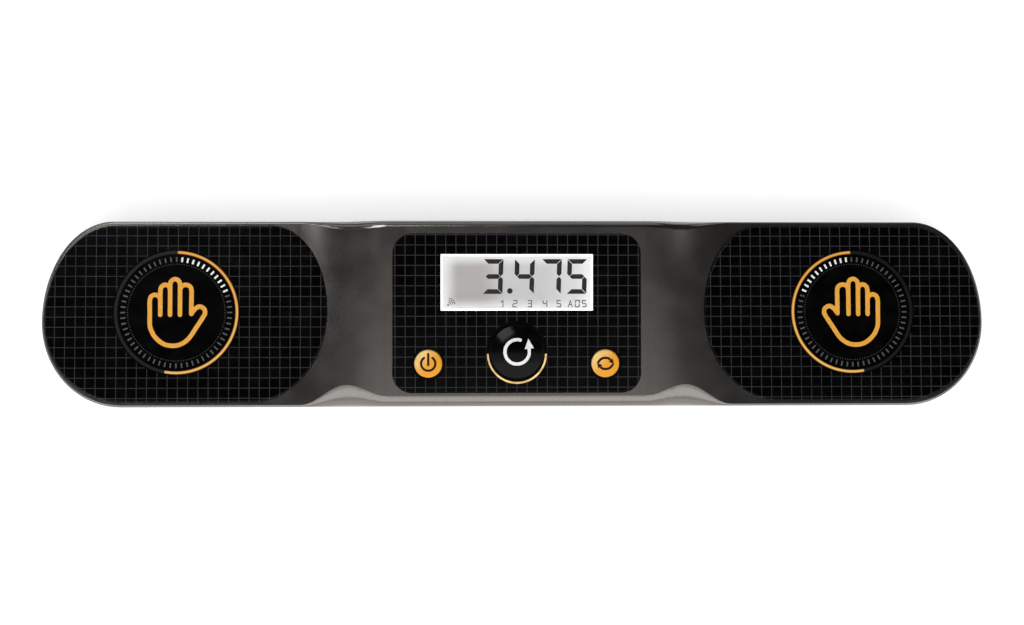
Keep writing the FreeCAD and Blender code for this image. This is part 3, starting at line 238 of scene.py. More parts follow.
def base_plastic():
    """Moulded black plastic with a spark-eroded texture, scuffed where it is handled."""
    made = Finish("base_plastic", Specular_IOR_Level=0.45)
    pits = made.cells(0.45)
    base = made.mix(made.patches(14, 4.0, 0.35, 0.7), tone(26, 26, 27), tone(36, 36, 37))
    rubbed = made.calc("MULTIPLY", made.edges(0.3), 0.5)
    scuffs = made.calc("MULTIPLY", made.patches(6, 5.0, 0.62, 0.72, squeeze=(1, 9, 1)), 0.25)
    base = made.mix(made.calc("MAXIMUM", rubbed, scuffs), base, tone(78, 78, 80))
    made.set(Base_Color=base, Roughness=made.span(pits, 0.0, 0.7, 0.47, 0.65))
    made.bump(made.calc("ADD", pits, made.noise(0.99, 3.0)), 0.03, 0.6)
    return made.material


def gridded(name, mirrored, discs, first_x, gloss):
    """Black gloss print with a fine grey grid, plain inside the listed discs."""
    made = Finish(name, Specular_IOR_Level=0.07)
    x = made.calc("ABSOLUTE", made.x) if mirrored else made.x
    lines = made.ruled(x, made.y, first_x, GRID_Y)
    for middle_x, middle_y, radius in discs:
        away = made.reach(x, made.y, middle_x, middle_y)
        outside = made.span(away, (radius - DISC_EDGE) * MM, (radius + DISC_EDGE) * MM)
        lines = made.calc("MULTIPLY", lines, outside)
    faded = made.calc("MULTIPLY", lines, made.patches(9, 3.0, 0.25, 0.6, 0.75, 1.0))
    ground = made.mix(made.patches(5, 4.0, 0.35, 0.7), tone(2, 2, 3), tone(7, 7, 8))
    smears = made.calc("MULTIPLY", made.patches(11, 5.0, 0.4, 0.75, squeeze=(1, 2.2, 1)), 0.07)
    made.set(Base_Color=made.mix(faded, ground, tone(52, 52, 54)),
             Roughness=made.calc("ADD", smears, gloss))
    relief = made.calc("ADD", made.noise(1.1, 3.0), made.calc("MULTIPLY", lines, 0.6))
    made.bump(relief, 0.004, 0.5)
    return made.material


def ring_light():
    """Light rings: the half towards the middle is lit amber, the other half is dark."""
    made = Finish("ring_light", Roughness=0.35, Emission_Strength=0.85, Specular_IOR_Level=0.22)
    off_middle = made.calc("ABSOLUTE", made.x)
    inward = made.calc("SUBTRACT", RING_X * MM, off_middle)
    back = made.calc("SUBTRACT", made.y, RING_Y * MM)

    # The turn is 0 at the back, and 180 degrees at the front by way of the middle.
    turn = made.calc("ARCTAN2", inward, back)
    begun = made.span(turn, math.radians(0.5), math.radians(1.8))
    past_front = made.span(turn, math.radians(-170), math.radians(-168.5), 1.0, 0.0)
    lit = made.calc("MAXIMUM", begun, past_front)

    to_front = made.span(back, -17 * MM, 17 * MM, 1.0, 0.0)
    amber = made.mix(to_front, tone(228, 163, 62), tone(240, 190, 100))
    beads = made.patches(3.2, 2.0, last=0.18)
    amber = made.mix(beads, amber, tone(255, 214, 140))
    radius = made.reach(off_middle, made.y, RING_X, RING_Y)
    off_line = made.calc("ABSOLUTE", made.calc("SUBTRACT", radius, RING_RADIUS * MM))
    amber = made.mix(made.span(off_line, 0.18 * MM, 0.42 * MM), amber, tone(126, 66, 14))

    made.set(Base_Color=made.mix(lit, tone(16, 16, 17), tone(84, 58, 24)),
             Emission_Color=made.mix(lit, BLACK, amber))
    made.bump(made.noise(0.5), 0.01, 0.4)
    return made.material


def lit_plastic(name, base, glow, bright, strength):
    """Translucent plastic that glows from the light under it, in places more brightly."""
    made = Finish(name, Emission_Strength=strength, Coat_Weight=0.25, Coat_Roughness=0.2)
    cloud = made.patches(3.0, 3.0, 0.3, 0.75)
    made.set(Base_Color=made.mix(cloud, base, bright),
             Emission_Color=made.mix(cloud, glow, bright),
             Roughness=made.patches(0.8, 3.0, first=0.28, last=0.38))
    made.bump(made.noise(0.35), 0.006, 0.4)
    return made.material


def button_plastic():
    """Amber button caps with a faint painted glow and a painted sheen, paler towards the rear
    left.
    """
    # The caps emit a little of their own colour: a painted glow.
    made = Finish("amber_cap", Emission_Strength=0.03, Specular_IOR_Level=0.3,
                  Coat_Weight=0.05, Coat_Roughness=0.25)
    outward = made.calc("SUBTRACT", made.calc("ABSOLUTE", made.x), SMALL_BUTTON_X * MM)
    rightward = made.calc("MULTIPLY", outward, made.calc("SIGN", made.x))
    back = made.calc("SUBTRACT", made.y, SMALL_BUTTON_Y * MM)
    # Painted sheen: the caps turn paler towards the rear left.
    painted_sheen = made.span(made.calc("SUBTRACT", back, rightward), -1.5 * MM, 6.5 * MM)
    shade = made.mix(painted_sheen, tone(232, 159, 40), tone(244, 213, 140))
    shade = made.mix(made.patches(2.4, 3.0, last=0.2), shade, tone(224, 149, 42))
    made.set(Base_Color=shade, Emission_Color=shade,
             Roughness=made.patches(0.6, 3.0, first=0.3, last=0.4))
    made.bump(made.noise(0.3), 0.006, 0.4)
    return made.material


def dome_gloss():
    """Polished black cap with faint finger marks."""
    made = Finish("dome_gloss", Specular_IOR_Level=0.09, Coat_Weight=0.03, Coat_Roughness=0.12)
    marks = made.patches(4.5, 5.0, 0.45, 0.75)
    made.set(Base_Color=made.mix(marks, tone(4, 4, 5), tone(9, 9, 10)),
             Roughness=made.calc("ADD", made.calc("MULTIPLY", marks, 0.08), 0.14))
    made.bump(made.noise(2.5, 3.0), 0.004, 0.4)
    return made.material


def window_clear():
    """Clear acrylic with faint smears."""
    made = Finish("window_clear", Transmission_Weight=1.0, IOR=1.3, Specular_IOR_Level=0.35)
    smears = made.patches(7, 5.0, 0.5, 0.8)
    made.set(Base_Color=made.mix(smears, WHITE, tone(246, 248, 250)),
             Roughness=made.calc("MULTIPLY", smears, 0.03))
    return made.material


def liquid_crystal():
    """Backlit display: grey, darker at the left, paler towards its bright border."""
    made = Finish("liquid_crystal", Roughness=0.4, Emission_Strength=0.9)
    left_to_middle = made.span(made.x, -11 * MM, -3 * MM)
    shade = made.mix(left_to_middle, tone(130, 127, 125), tone(151, 151, 151))
    middle_to_right = made.span(made.x, 6 * MM, 20 * MM)
    shade = made.mix(middle_to_right, shade, tone(168, 169, 168))

    off_middle = made.calc("ABSOLUTE", made.x)
    from_side = made.calc("SUBTRACT", WINDOW_WIDTH / 2 * MM, off_middle)
    off_middle = made.calc("ABSOLUTE", made.calc("SUBTRACT", made.y, WINDOW_Y * MM))
    from_end = made.calc("SUBTRACT", WINDOW_DEPTH / 2 * MM, off_middle)
    within = made.calc("MULTIPLY",
                       made.span(from_side, SIDE_LIGHT[0] * MM, SIDE_LIGHT[1] * MM),
                       made.span(from_end, END_LIGHT[0] * MM, END_LIGHT[1] * MM))
    shade = made.mix(within, tone(190, 191, 190), shade)
    from_edge = made.calc("MINIMUM", from_side, from_end)
    border = made.span(from_edge, BORDER[0] * MM, BORDER[1] * MM, 1.0, 0.0)
    shade = made.mix(border, shade, tone(250, 250, 248))

    shade = made.mix(made.patches(0.3, 1.0, last=0.06), shade, tone(150, 150, 150))
    made.set(Base_Color=shade, Emission_Color=shade)
    made.bump(made.noise(0.4, 1.0), 0.003, 0.3)
    return made.material


def ink(name, dark, light, rough=0.45, glow=0.0, shine=0.3):
    """Printing ink: a colour with slight variation, on its own thin layer."""
    made = Finish(name, Emission_Strength=glow, Specular_IOR_Level=shine)
    shade = made.mix(made.patches(0.7, 4.0), dark, light)
    made.set(Base_Color=shade, Emission_Color=shade,
             Roughness=made.patches(0.4, 2.0, first=rough - 0.05, last=rough + 0.08))
    made.bump(made.noise(0.2), 0.003, 0.4)
    return made.material


def circuit_board():
    """Green solder mask over copper tracks."""
    made = Finish("circuit_board", Coat_Weight=0.4, Coat_Roughness=0.2)
    tracks = []
    for along, other in ((made.x, made.y), (made.y, made.x)):
        step = made.calc("SNAP", other, 4.1 * MM)
        shifted = made.calc("ADD", along, made.calc("MULTIPLY", step, 0.37))
        folded = made.calc("PINGPONG", shifted, 1.1 * MM)
        tracks.append(made.span(folded, 0.16 * MM, 0.22 * MM, 1.0, 0.0))
    copper = made.calc("MULTIPLY", made.calc("MAXIMUM", *tracks), made.patches(6, 1.0, 0.48, 0.54))
    base = made.mix(copper, tone(14, 66, 38), tone(34, 104, 58))
    base = made.mix(made.patches(9, 3.0, last=0.3), base, tone(10, 52, 34))
    made.set(Base_Color=base, Roughness=made.patches(0.8, 2.0, first=0.3, last=0.42))
    made.bump(copper, 0.03, 0.6)
    return made.material


def metal(name, dark, light, rough, brushed):
    """Plated or pressed metal with fine scratches and a little tarnish."""
    made = Finish(name, Metallic=1.0)
    scratches = made.noise(0.5, 4.0, brushed)
    made.set(Base_Color=made.mix(made.patches(4, 4.0, 0.35, 0.7), light, dark),
             Roughness=made.span(scratches, 0.3, 0.7, rough - 0.08, rough + 0.12))
    made.bump(scratches, 0.006, 0.5)
    return made.material


def plain_plastic(name, dark, light, rough, grain):
    """Moulded plastic with a fine matt grain."""
    made = Finish(name, Specular_IOR_Level=0.45)
    base = made.mix(made.patches(5, 4.0), dark, light)
    rubbed = made.calc("MULTIPLY", made.edges(0.15), 0.35)
    made.set(Base_Color=made.mix(rubbed, base, tone(130, 130, 130)),
             Roughness=made.patches(grain * 2, 3.0, first=rough - 0.06, last=rough + 0.08))
    made.bump(made.noise(grain, 3.0), 0.012, 0.5)
    return made.material


def rubber():
    """Dusty black rubber with fine pores."""
    made = Finish("foot_rubber", Specular_IOR_Level=0.3, Sheen_Weight=0.15)
    dust = made.patches(2.2, 5.0, 0.5, 0.75)
    pores = made.cells(0.35)
    made.set(Base_Color=made.mix(dust, tone(24, 24, 25), tone(66, 64, 62)),
             Roughness=made.span(pores, 0.0, 0.6, 0.72, 0.9))
    made.bump(pores, 0.03, 0.6)
    return made.material


def cell_jacket():
    """Shrink sleeve of a plain dry cell, with a paler band near one end."""
    made = Finish("cell_jacket", Coat_Weight=0.3, Coat_Roughness=0.15)
    band = made.calc("MULTIPLY", made.span(made.x, 9 * MM, 9.4 * MM),
                     made.span(made.x, 16 * MM, 16.4 * MM, 1.0, 0.0))
    base = made.mix(band, tone(38, 58, 92), tone(196, 198, 202))
    base = made.mix(made.patches(5, 4.0, 0.35, 0.7, 0.0, 0.2), base, tone(24, 34, 54))
    made.set(Base_Color=base, Roughness=made.patches(1.5, 4.0, first=0.24, last=0.36))
    made.bump(made.noise(2.0, 3.0), 0.01, 0.4)
    return made.material


PAD_DISCS = [(RING_X, RING_Y, PAD_DISC)]
PANEL_DISCS = [(-SMALL_BUTTON_X, SMALL_BUTTON_Y, SMALL_DISC),
               (SMALL_BUTTON_X, SMALL_BUTTON_Y, SMALL_DISC), (0, RESET_Y, RESET_DISC)]
PALE, PALER = tone(225, 225, 220), tone(240, 240, 236)

# Finishes by material slot.
FINISHES = {
    "housing_shell": housing_paint(),
    "base_shell": base_plastic(),
    "pad": gridded("pad_print", True, PAD_DISCS, PAD_GRID_X, 0.16),
    "panel": gridded("panel_print", False, PANEL_DISCS, PANEL_GRID_X, 0.12),
    "light": ring_light(),
    "window": window_clear(),
    "liquid_crystal": liquid_crystal(),
    "backlight": lit_plastic("backlight", PALE, PALE, PALER, 0.5),
    "frame_plastic": plain_plastic(
        "frame_plastic", tone(28, 28, 29), tone(38, 38, 39), 0.5, 0.5),
    "button": button_plastic(),
    "reset_button": dome_gloss(),
    "component_plastic": plain_plastic(
        "component_plastic", tone(22, 22, 23), tone(34, 34, 36), 0.45, 0.3),
    "shield_metal": metal(
        "shield_metal", tone(140, 138, 132), tone(178, 176, 170), 0.35, (1, 6, 1)),
    "circuit_board": circuit_board(),
    "cable": plain_plastic(
        "polyimide_cable", tone(150, 88, 22), tone(178, 108, 34), 0.3, 0.8),
    "cell_jacket": cell_jacket(),
    "contact_metal": metal(
        "nickel_contact", tone(150, 146, 138), tone(196, 192, 184), 0.28, (8, 1, 1)),
    "foot_rubber": rubber(),
    "screw_metal": metal("black_zinc", tone(34, 34, 36), tone(62, 62, 66), 0.4, (1, 1, 5)),
}

# Finishes of single nodes that differ from their slot's.
LED_BODY = plain_plastic("led_body", tone(214, 206, 176), tone(228, 222, 200), 0.35, 0.2)
OWN_FINISHES = {
    "console_light_arc": lit_plastic(
        "arc_light", tone(84, 66, 38), tone(202, 164, 96), tone(218, 186, 124), 0.85),
    "left_ring_leds": LED_BODY,
    "right_ring_leds": LED_BODY,
}

for part in frame["record"]["subparts"]:
    finish = OWN_FINISHES.get(part["node"], FINISHES[part["material_slot"]])
    for place in nodes[part["node"]].material_slots:
        place.material = finish

# ---------------------------------------------------------------------------
# Printed graphics: thin closed layers laid on the faces that carry them
# ---------------------------------------------------------------------------

# A layer is drawn flat, in the housing's frame or in that of the console's face.
FLAT = Matrix.Identity(4)
CONSOLE = Matrix.Translation((0, 0, CONSOLE_LEVEL * MM)) @ Matrix.Rotation(CONSOLE_TILT, 4, "X")

# How far a layer stands out of its face and reaches into it, and the height it drops from.
RAISED, SUNK = 0.015, 0.02
HAND_RAISED = 0.02
DROP_HEIGHT = 40

# On a crowned cap, the length that edges are divided down to, in this many rounds.
CROWN_STEP, CROWN_ROUNDS = 0.6, 3

CURVE_STEPS = 5
ROUND_END_STEPS = 8
JOIN_TOLERANCE = 1e-4


def smooth(points):
    """More points on a round curve through the given ones."""
    ends = [points[0], *points, points[-1]]
    curve = []
    for before, first, second, after in zip(ends, ends[1:], ends[2:], ends[3:]):
        for step in range(CURVE_STEPS):
            share = step / CURVE_STEPS
            curve.append(tuple(
                0.5 * (2 * b + (c - a) * share + (2 * a - 5 * b + 4 * c - d) * share ** 2
                       + (3 * b - a - 3 * c + d) * share ** 3)
                for a, b, c, d in zip(before, first, second, after)))
    return curve + [points[-1]]


def arc(middle, radius, start, end, steps):
    """Points along a circle, from one angle in degrees to another."""
    turns = [math.radians(start + (end - start) * step / steps) for step in range(steps + 1)]
    return [(middle[0] + radius * math.cos(t), middle[1] + radius * math.sin(t)) for t in turns]


def disc(middle, radius, sides):
    """The one face of a round spot."""
    return [arc(middle, radius, 0, 360, sides)[:-1]]


def stroke(points, width):
    """Faces of a line of even width through the points, with round ends."""
    points = [Vector(point) for point in points]
    sides = []
    for number, point in enumerate(points):
        before = (point - points[number - 1]).normalized() if number else None
        after = (points[number + 1] - point).normalized() if number + 1 < len(points) else None
        before, after = before or after, after or before
        across = Vector((-before.y - after.y, before.x + after.x)).normalized()
        reach = width / 2 / max(0.5, across.dot(Vector((-after.y, after.x))))
        sides.append((point + across * reach, point - across * reach))
    faces = [(a, b, d, c) for (a, b), (c, d) in zip(sides, sides[1:])]
    for end, (first, second) in ((points[0], sides[0]), (points[-1], sides[-1][::-1])):
        begin = math.degrees(math.atan2(*(first - end).yx))
        cap = arc(end, width / 2, begin, begin + 180, ROUND_END_STEPS)[1:-1]
        faces.append((first, *(Vector(point) for point in cap), second))
    return faces


def arrow_head(tip, heading, size):
    """The one face of an arrow head that points along a heading in degrees."""
    corners = ((0, 1.0), (125, 0.85), (235, 0.85))
    return [[(tip[0] + size * reach * math.cos(math.radians(heading + turn)),
              tip[1] + size * reach * math.sin(math.radians(heading + turn)))
             for turn, reach in corners]]


def joined(faces):
    """Corners and triangles of the area that the faces cover together, with no overlaps."""
    corners, loops = [], []
    for face in faces:
        face = [Vector(corner) for corner in face]
        if sum(first.cross(second) for first, second in zip(face, face[1:] + face[:1])) < 0:
            face.reverse()
        loops.append(range(len(corners), len(corners) + len(face)))
        corners += face
    corners, _, triangles, _, _, sources = delaunay_2d_cdt(corners, [], loops, 0, JOIN_TOLERANCE)
    return corners, [triangle for triangle, source in zip(triangles, sources) if source]


def graphic(name, faces, node, finish, body="housing", frame_of=FLAT, raised=RAISED,
            crowned=False):
    """A printed layer on a node's face; the faces are drawn in millimetres in the given frame."""
    layer = bmesh.new()
    corners, triangles = joined(faces)
    corners = [layer.verts.new((x * MM, y * MM, 0)) for x, y in corners]
    for triangle in triangles:
        layer.faces.new([corners[number] for number in triangle])
    loose = [corner for corner in corners if not corner.link_faces]
    bmesh.ops.delete(layer, geom=loose, context="VERTS")
    if crowned:
        for _ in range(CROWN_ROUNDS):
            long_edges = [edge for edge in layer.edges if edge.calc_length() > CROWN_STEP * MM]
            bmesh.ops.subdivide_edges(layer, edges=long_edges, cuts=1, use_grid_fill=True)
            bmesh.ops.triangulate(layer, faces=layer.faces[:])
    under = layer.verts[:]
    bmesh.ops.extrude_face_region(layer, geom=layer.faces[:], use_keep_orig=True)
    upper = set(layer.verts[:]) - set(under)

    carrier = nodes[node].data
    surface = BVHTree.FromPolygons([vert.co for vert in carrier.vertices],
                                   [face.vertices for face in carrier.polygons])
    down = frame_of.to_3x3() @ Vector((0, 0, -1))
    for vert in layer.verts:
        above = frame_of @ Vector((vert.co.x, vert.co.y, DROP_HEIGHT * MM))
        hit, _, _, _ = surface.ray_cast(above, down)
        if hit is None:
            raise ValueError(f"{name} hangs over the edge of {node}")
        vert.co = hit - down * (raised if vert in upper else -SUNK) * MM
    bmesh.ops.recalc_face_normals(layer, faces=layer.faces[:])

    mesh = bpy.data.meshes.new(name)
    layer.to_mesh(mesh)
    layer.free()
    mesh.materials.append(finish)
    made = bpy.data.objects.new(name, mesh)
    bpy.context.scene.collection.objects.link(made)
    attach(made, body)


WHITE_INK = ink("white_ink", tone(214, 214, 210), tone(232, 232, 228), glow=0.12)
GREY_INK = ink("grey_ink", tone(66, 66, 66), tone(82, 82, 81))
DARK_INK = ink("dark_grey_ink", tone(54, 54, 55), tone(66, 66, 67))
AMBER_INK = ink("amber_ink", tone(222, 154, 50), tone(232, 168, 66), glow=0.03)
BROWN_INK = ink("brown_ink", tone(34, 12, 4), tone(46, 18, 7), shine=0.12)
SEGMENT_INK = ink("segment_ink", tone(12, 12, 14), tone(20, 20, 22), rough=0.35)
LEGEND_INK = ink("small_segment_ink", tone(84, 84, 86), tone(98, 98, 100), rough=0.35)

# ---------------------------------------------------------------------------
# Touch pads: a dial of ticks round a hand
# ---------------------------------------------------------------------------

TICKS_FROM, TICKS_TO = 15.0, 16.4
FINE_FROM, FINE_TO = 14.15, 14.45
LIT_WIDTH, DIM_WIDTH, FINE_WIDTH = 0.55, 0.45, 0.22

# Turns are in degrees, from the back towards the middle of the timer.
TURNS = range(0, 360, 6)
LIT_TURNS = range(6, 67, 6)
DIM_TURNS = [turn for turn in TURNS if turn not in LIT_TURNS]
FINE_TURNS = range(0, 360, 3)

# The hand's lines about the dial's middle, with x towards the middle of the timer.
HAND_WIDTH = 1.32
HAND_LINES = (
    smooth([(-7.78, -2.51), (-7.78, 0.6), (-7.78, 3.5), (-7.36, 4.75), (-6.24, 5.25),
            (-5.12, 4.75), (-4.7, 3.6)]),
    smooth([(-4.7, -0.65), (-4.7, 3.0), (-4.7, 6.5), (-4.25, 7.75), (-3.2, 8.22),
            (-2.2, 7.7), (-1.84, 6.6)]),
    smooth([(-1.84, -0.65), (-1.84, 4.0), (-1.84, 8.2), (-1.4, 9.4), (-0.38, 9.88),
            (0.65, 9.4), (1.06, 8.2)]),
    [(1.06, 8.2), (1.06, -0.65)],
    smooth([(1.06, 6.6), (1.52, 7.72), (2.75, 8.2), (3.95, 7.7), (4.4, 6.5), (4.4, 3.0),
            (4.4, -0.4)]),
    smooth([(4.4, -0.4), (5.6, 1.15), (6.9, 1.78), (8.15, 1.05), (8.4, -0.2), (7.85, -1.4),
            (5.9, -4.4), (3.66, -7.71), (1.25, -9.4), (-1.35, -9.8), (-3.95, -9.12),
            (-6.37, -6.97), (-7.6, -4.4), (-7.78, -2.51)]),
)


def dial_point(side, turn, radius):
    """A point on a pad's dial."""
    turn = math.radians(turn)
    return (side * (RING_X - radius * math.sin(turn)), RING_Y + radius * math.cos(turn))


def dial_ticks(side, turns, inner, outer, width):
    """Faces of ticks with even width, one at each turn."""
    half = math.degrees(width / 2 / outer)
    corners = ((-half, inner), (-half, outer), (half, outer), (half, inner))
    return [[dial_point(side, turn + off * outer / radius, radius) for off, radius in corners]
            for turn in turns]


for side, name in ((-1, "left"), (1, "right")):
    pad = f"{name}_touch_pad"
    for ticks, turns, start, end, width, finish in (
            ("lit", LIT_TURNS, TICKS_FROM, TICKS_TO, LIT_WIDTH, WHITE_INK),
            ("dim", DIM_TURNS, TICKS_FROM, TICKS_TO, DIM_WIDTH, GREY_INK),
            ("fine", FINE_TURNS, FINE_FROM, FINE_TO, FINE_WIDTH, DARK_INK)):
        faces = dial_ticks(side, turns, start, end, width)
        graphic(f"{name}_{ticks}_ticks", faces, pad, finish)
    hand = []
    for line in HAND_LINES:
        hand += stroke([(side * (RING_X - x), RING_Y + y) for x, y in line], HAND_WIDTH)
    graphic(f"{name}_hand_mark", hand, pad, AMBER_INK, raised=HAND_RAISED)

# ---------------------------------------------------------------------------
# Display: the time, the numbers of five solves with their average, and a radio sign
# ---------------------------------------------------------------------------

#   a        Segments of a figure, with the figure's lower left corner at
# f   b      (0, 0) and its upper right corner at (1, 1).
#   g
# e   c
#   d
SEGMENTS = {
    "a": ((0, 1), (1, 1)), "b": ((1, 1), (1, 0.5)), "c": ((1, 0.5), (1, 0)),
    "d": ((1, 0), (0, 0)), "e": ((0, 0), (0, 0.5)), "f": ((0, 0.5), (0, 1)),
    "g": ((0, 0.5), (1, 0.5)),
}
FIGURES = {"2": "abged", "3": "abgcd", "4": "fgbc", "5": "afgcd", "7": "abc", "O": "abcdef"}
FIGURE_LEAN = math.tan(math.radians(2))

# Characters drawn in lines instead, in the same square.
DRAWN = {
    "1": [[(0.1, 0.75), (0.6, 1), (0.6, 0)]],
    "A": [[(0, 0), (0.5, 1), (1, 0)], [(0.2, 0.35), (0.8, 0.35)]],
}

TIME = (("3", -10.15), ("4", -0.85), ("7", 7.15), ("5", 14.75))
TIME_LOW, TIME_WIDTH, TIME_HEIGHT = 5.68, 5.9, 10.3
TIME_THICK, TIME_GAP = 1.38, 0.09
POINT, POINT_RADIUS = (-2.03, 6.55), 0.82

# The small characters by their middles, each of which is LEGEND_HALF from the left side.
LEGEND = (("1", -4.2), ("2", -0.58), ("3", 3.79), ("4", 8.33), ("5", 12.46),
          ("A", 15.9), ("O", 17.95), ("5", 20.0))
LEGEND_HALF = 0.72
LEGEND_LOW, LEGEND_WIDTH, LEGEND_HEIGHT = 1.72, 1.45, 2.15
LEGEND_THICK, LEGEND_GAP = 0.3, 0.02

SIGNAL_FOOT, SIGNAL_SPOT = (-20.3, 2.4), 0.3
SIGNAL_RADII = (0.8, 1.4, 2.0)
SIGNAL_WIDTH = 0.26


def figure(letter, left, low, width, height, thick, gap):
    """The lit segments of one figure: mitred at its outer corners, pointed at its waist."""
    faces = []
    for key in FIGURES[letter]:
        first, second = (
            Vector((thick / 2 + x * (width - thick), thick / 2 + y * (height - thick)))
            for x, y in SEGMENTS[key])
        along = (second - first).normalized()
        across = Vector((-along.y, along.x)) * thick / 2
        start, end = first + along * gap, second - along * gap
        point = along * thick / 2
        at_corner = [key != "g" and y in (0, 1) for _, y in SEGMENTS[key]]
        corners = [start - point + across] if at_corner[0] else [start, start + point + across]
        corners += [end + point + across] if at_corner[1] else [end - point + across, end]
        corners += [end - point - across, start + point - across]
        faces.append([(left + c.x + c.y * FIGURE_LEAN, low + c.y) for c in corners])
    return faces


def drawn(letter, left, low, width, height, thick):
    """The strokes of one upright character."""
    faces = []
    for line in DRAWN[letter]:
        faces += stroke([(left + thick / 2 + x * (width - thick),
                          low + thick / 2 + y * (height - thick)) for x, y in line], thick)
    return faces


time_faces = disc(POINT, POINT_RADIUS, 20)
for letter, left in TIME:
    time_faces += figure(letter, left, TIME_LOW, TIME_WIDTH, TIME_HEIGHT, TIME_THICK, TIME_GAP)
graphic("time_figures", time_faces, "display_glass", SEGMENT_INK,
        frame_of=CONSOLE)

legend_faces = []
for letter, middle in LEGEND:
    square = (middle - LEGEND_HALF, LEGEND_LOW, LEGEND_WIDTH, LEGEND_HEIGHT, LEGEND_THICK)
    if letter in DRAWN:
        legend_faces += drawn(letter, *square)
    else:
        legend_faces += figure(letter, *square, LEGEND_GAP)
graphic("solve_figures", legend_faces, "display_glass", LEGEND_INK,
        frame_of=CONSOLE)

signal_faces = disc(SIGNAL_FOOT, SIGNAL_SPOT, 12)
for radius in SIGNAL_RADII:
    signal_faces += stroke(arc(SIGNAL_FOOT, radius, 10, 80, 8), SIGNAL_WIDTH)
graphic("signal_mark", signal_faces, "display_glass", LEGEND_INK,
        frame_of=CONSOLE)

# ---------------------------------------------------------------------------
# Button symbols
# ---------------------------------------------------------------------------

POWER_X, POWER_Y = -SMALL_BUTTON_X, SMALL_BUTTON_Y + 0.05
POWER_RADIUS, POWER_WIDTH = 2.1, 0.68
POWER_BAR = [step * 0.4 for step in range(-1, 8)]

# One of the mode button's two arrows, about the button's middle.
MODE_SHAFT = smooth([(-2.15, 0.4), (-1.5, 1.15), (-0.55, 1.6), (0.6, 1.6), (1.3, 1.25)])
MODE_HEAD = arrow_head((1.85, 0.6), -50, 1.1)
MODE_WIDTH = 0.7

RESET_RADIUS, RESET_WIDTH = 3.6, 0.95
RESET_HEAD = arrow_head((3.5, RESET_Y + 1.9), 96, 2.0)


def on_mode_button(points, flip):
    """Points moved to the mode button, and turned half round its middle where flip is -1."""
    return [(SMALL_BUTTON_X + flip * x, SMALL_BUTTON_Y + flip * y) for x, y in points]


power_faces = stroke(arc((POWER_X, POWER_Y), POWER_RADIUS, 126, 414, 48), POWER_WIDTH)
power_faces += stroke([(POWER_X, POWER_Y + rise) for rise in POWER_BAR], POWER_WIDTH)
graphic("power_mark", power_faces, "power_button_cap", BROWN_INK, "power_button",
        CONSOLE, crowned=True)

mode_faces = []
for flip in (1, -1):
    mode_faces += stroke(on_mode_button(MODE_SHAFT, flip), MODE_WIDTH)
    mode_faces += [on_mode_button(face, flip) for face in MODE_HEAD]
graphic("mode_mark", mode_faces, "mode_button_cap", BROWN_INK, "mode_button",
        CONSOLE, crowned=True)

reset_faces = stroke(arc((0, RESET_Y), RESET_RADIUS, 75, 375, 64), RESET_WIDTH) + RESET_HEAD
graphic("reset_mark", reset_faces, "reset_button_cap", WHITE_INK,
        "reset_button", CONSOLE, crowned=True)

# ---------------------------------------------------------------------------
# Studio, in metres: floor, light from all round, soft lights and the camera
# ---------------------------------------------------------------------------

# The floor turns from its near shade to white between these distances from its middle.
FLOOR_SIZE = 6.0
FLOOR_NEAR = (0.5, 0.5, 0.5, 1)
FLOOR_TURNS_WHITE = (0.3, 1.2)

# The light from all round falls from front to back between these directions along Y.
LIGHT_FALLS = (-0.21, -0.045)
FRONT_LIGHT, BACK_LIGHT = 1.06, 0.024

LIGHTS_AIM = Vector((0, 0, 0.02))
# Name, place, size and power of each soft light.
SOFT_LIGHTS = (
    ("front_softbox", (0.0, -1.5, 1.5), (3.0, 1.8), 15),
    ("rear_softbox", (-0.2, 1.8, 1.0), (2.4, 1.0), 6),
    ("left_softbox", (-1.8, 0.2, 1.0), (1.2, 1.4), 5),
    ("right_softbox", (1.8, 0.0, 1.0), (1.2, 1.4), 5),
    ("sheen_panel", (-0.34, 0.46, 1.1), (0.46, 0.42), 3.4),
)

# The photograph's camera, fitted to the timer's outline and its flat features.
TARGET = Vector((-1.357, 0.324, 19.0)) * MM
AZIMUTH, RISE, ROLL = (math.radians(angle) for angle in (-34.285, 86.230, 34.165))
DISTANCE = 0.51677
LENS, SENSOR = 61.153, 36.0


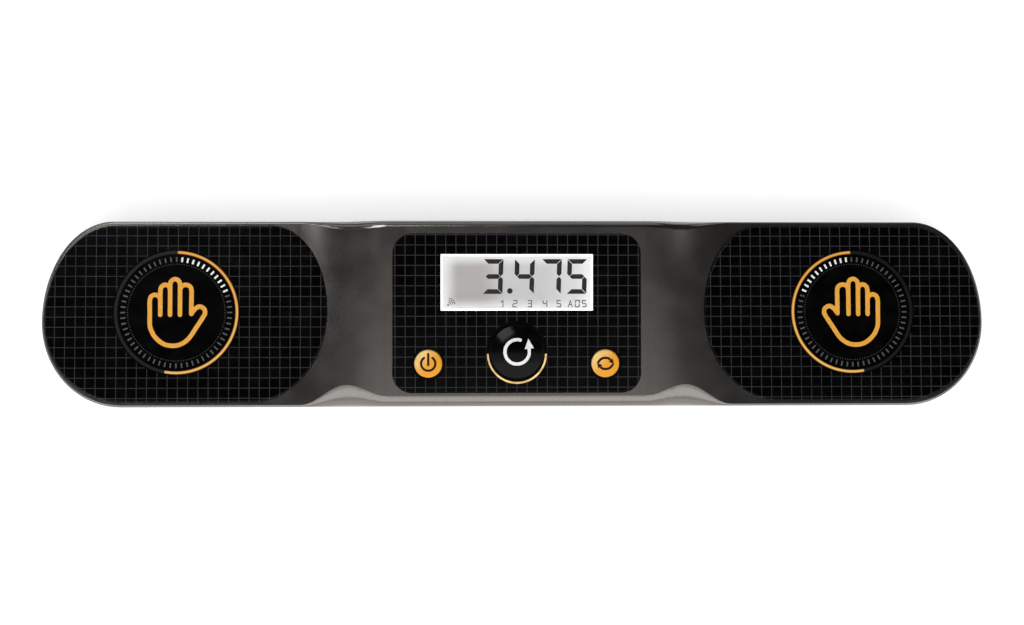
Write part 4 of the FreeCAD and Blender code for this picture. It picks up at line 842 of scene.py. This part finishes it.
def studio_floor():
    """A pale floor that takes the shadow, and is white for the rays that show it."""
    bpy.ops.mesh.primitive_plane_add(size=FLOOR_SIZE, location=(0, 0, 0))
    floor = bpy.context.object
    floor.name = "studio_floor"
    made = Finish("studio_floor", Roughness=0.9, Specular_IOR_Level=0.0, Emission_Strength=1.0)
    far_off = made.span(made.reach(made.x, made.y, 0, 0), *FLOOR_TURNS_WHITE)
    glow = made.mix(far_off, FLOOR_NEAR, WHITE)
    seen = made.seen_by("Camera", "Glossy", "Transmission")
    made.set(Base_Color=tone(236, 236, 236), Emission_Color=made.mix(seen, BLACK, glow))
    floor.data.materials.append(made.material)


def backdrop():
    """Soft light from all round, brighter in front, behind a white that the camera sees."""
    world = bpy.data.worlds.new("studio")
    world.use_nodes = True
    made = Nodes(world.node_tree)
    _, toward, _ = made.apart(made.node("ShaderNodeTexCoord").outputs["Generated"])
    light = made.span(toward, *LIGHT_FALLS, FRONT_LIGHT, BACK_LIGHT)
    shown = made.mix(made.seen_by("Camera", "Transmission"), light, WHITE)
    made.feed(made.tree.nodes["Background"].inputs["Color"], shown)
    bpy.context.scene.world = world


def soft_light(name, place, size, power):
    """A rectangular lamp aimed at the timer."""
    lamp = bpy.data.lights.new(name, "AREA")
    lamp.shape = "RECTANGLE"
    lamp.size, lamp.size_y = size
    lamp.energy = power
    made = bpy.data.objects.new(name, lamp)
    made.location = place
    made.rotation_euler = (LIGHTS_AIM - Vector(place)).to_track_quat("-Z", "Y").to_euler()
    bpy.context.scene.collection.objects.link(made)


def camera():
    """A camera round the target, turned about its own axis by the roll."""
    back = Vector((math.cos(RISE) * math.sin(AZIMUTH), -math.cos(RISE) * math.cos(AZIMUTH),
                   math.sin(RISE)))
    right = Vector((0, 0, 1)).cross(back).normalized()
    up = back.cross(right)
    turned_right = right * math.cos(ROLL) + up * math.sin(ROLL)
    turned_up = up * math.cos(ROLL) - right * math.sin(ROLL)
    axes = Matrix((turned_right, turned_up, back)).transposed().to_4x4()
    data = bpy.data.cameras.new("camera")
    data.sensor_width = SENSOR
    data.lens = LENS
    data.clip_start = 0.01
    made = bpy.data.objects.new("camera", data)
    made.matrix_world = Matrix.Translation(TARGET + back * DISTANCE) @ axes
    bpy.context.scene.collection.objects.link(made)
    bpy.context.scene.camera = made


studio_floor()
backdrop()
camera()
for settings in SOFT_LIGHTS:
    soft_light(*settings)
bpy.context.scene.view_settings.view_transform = "Standard"
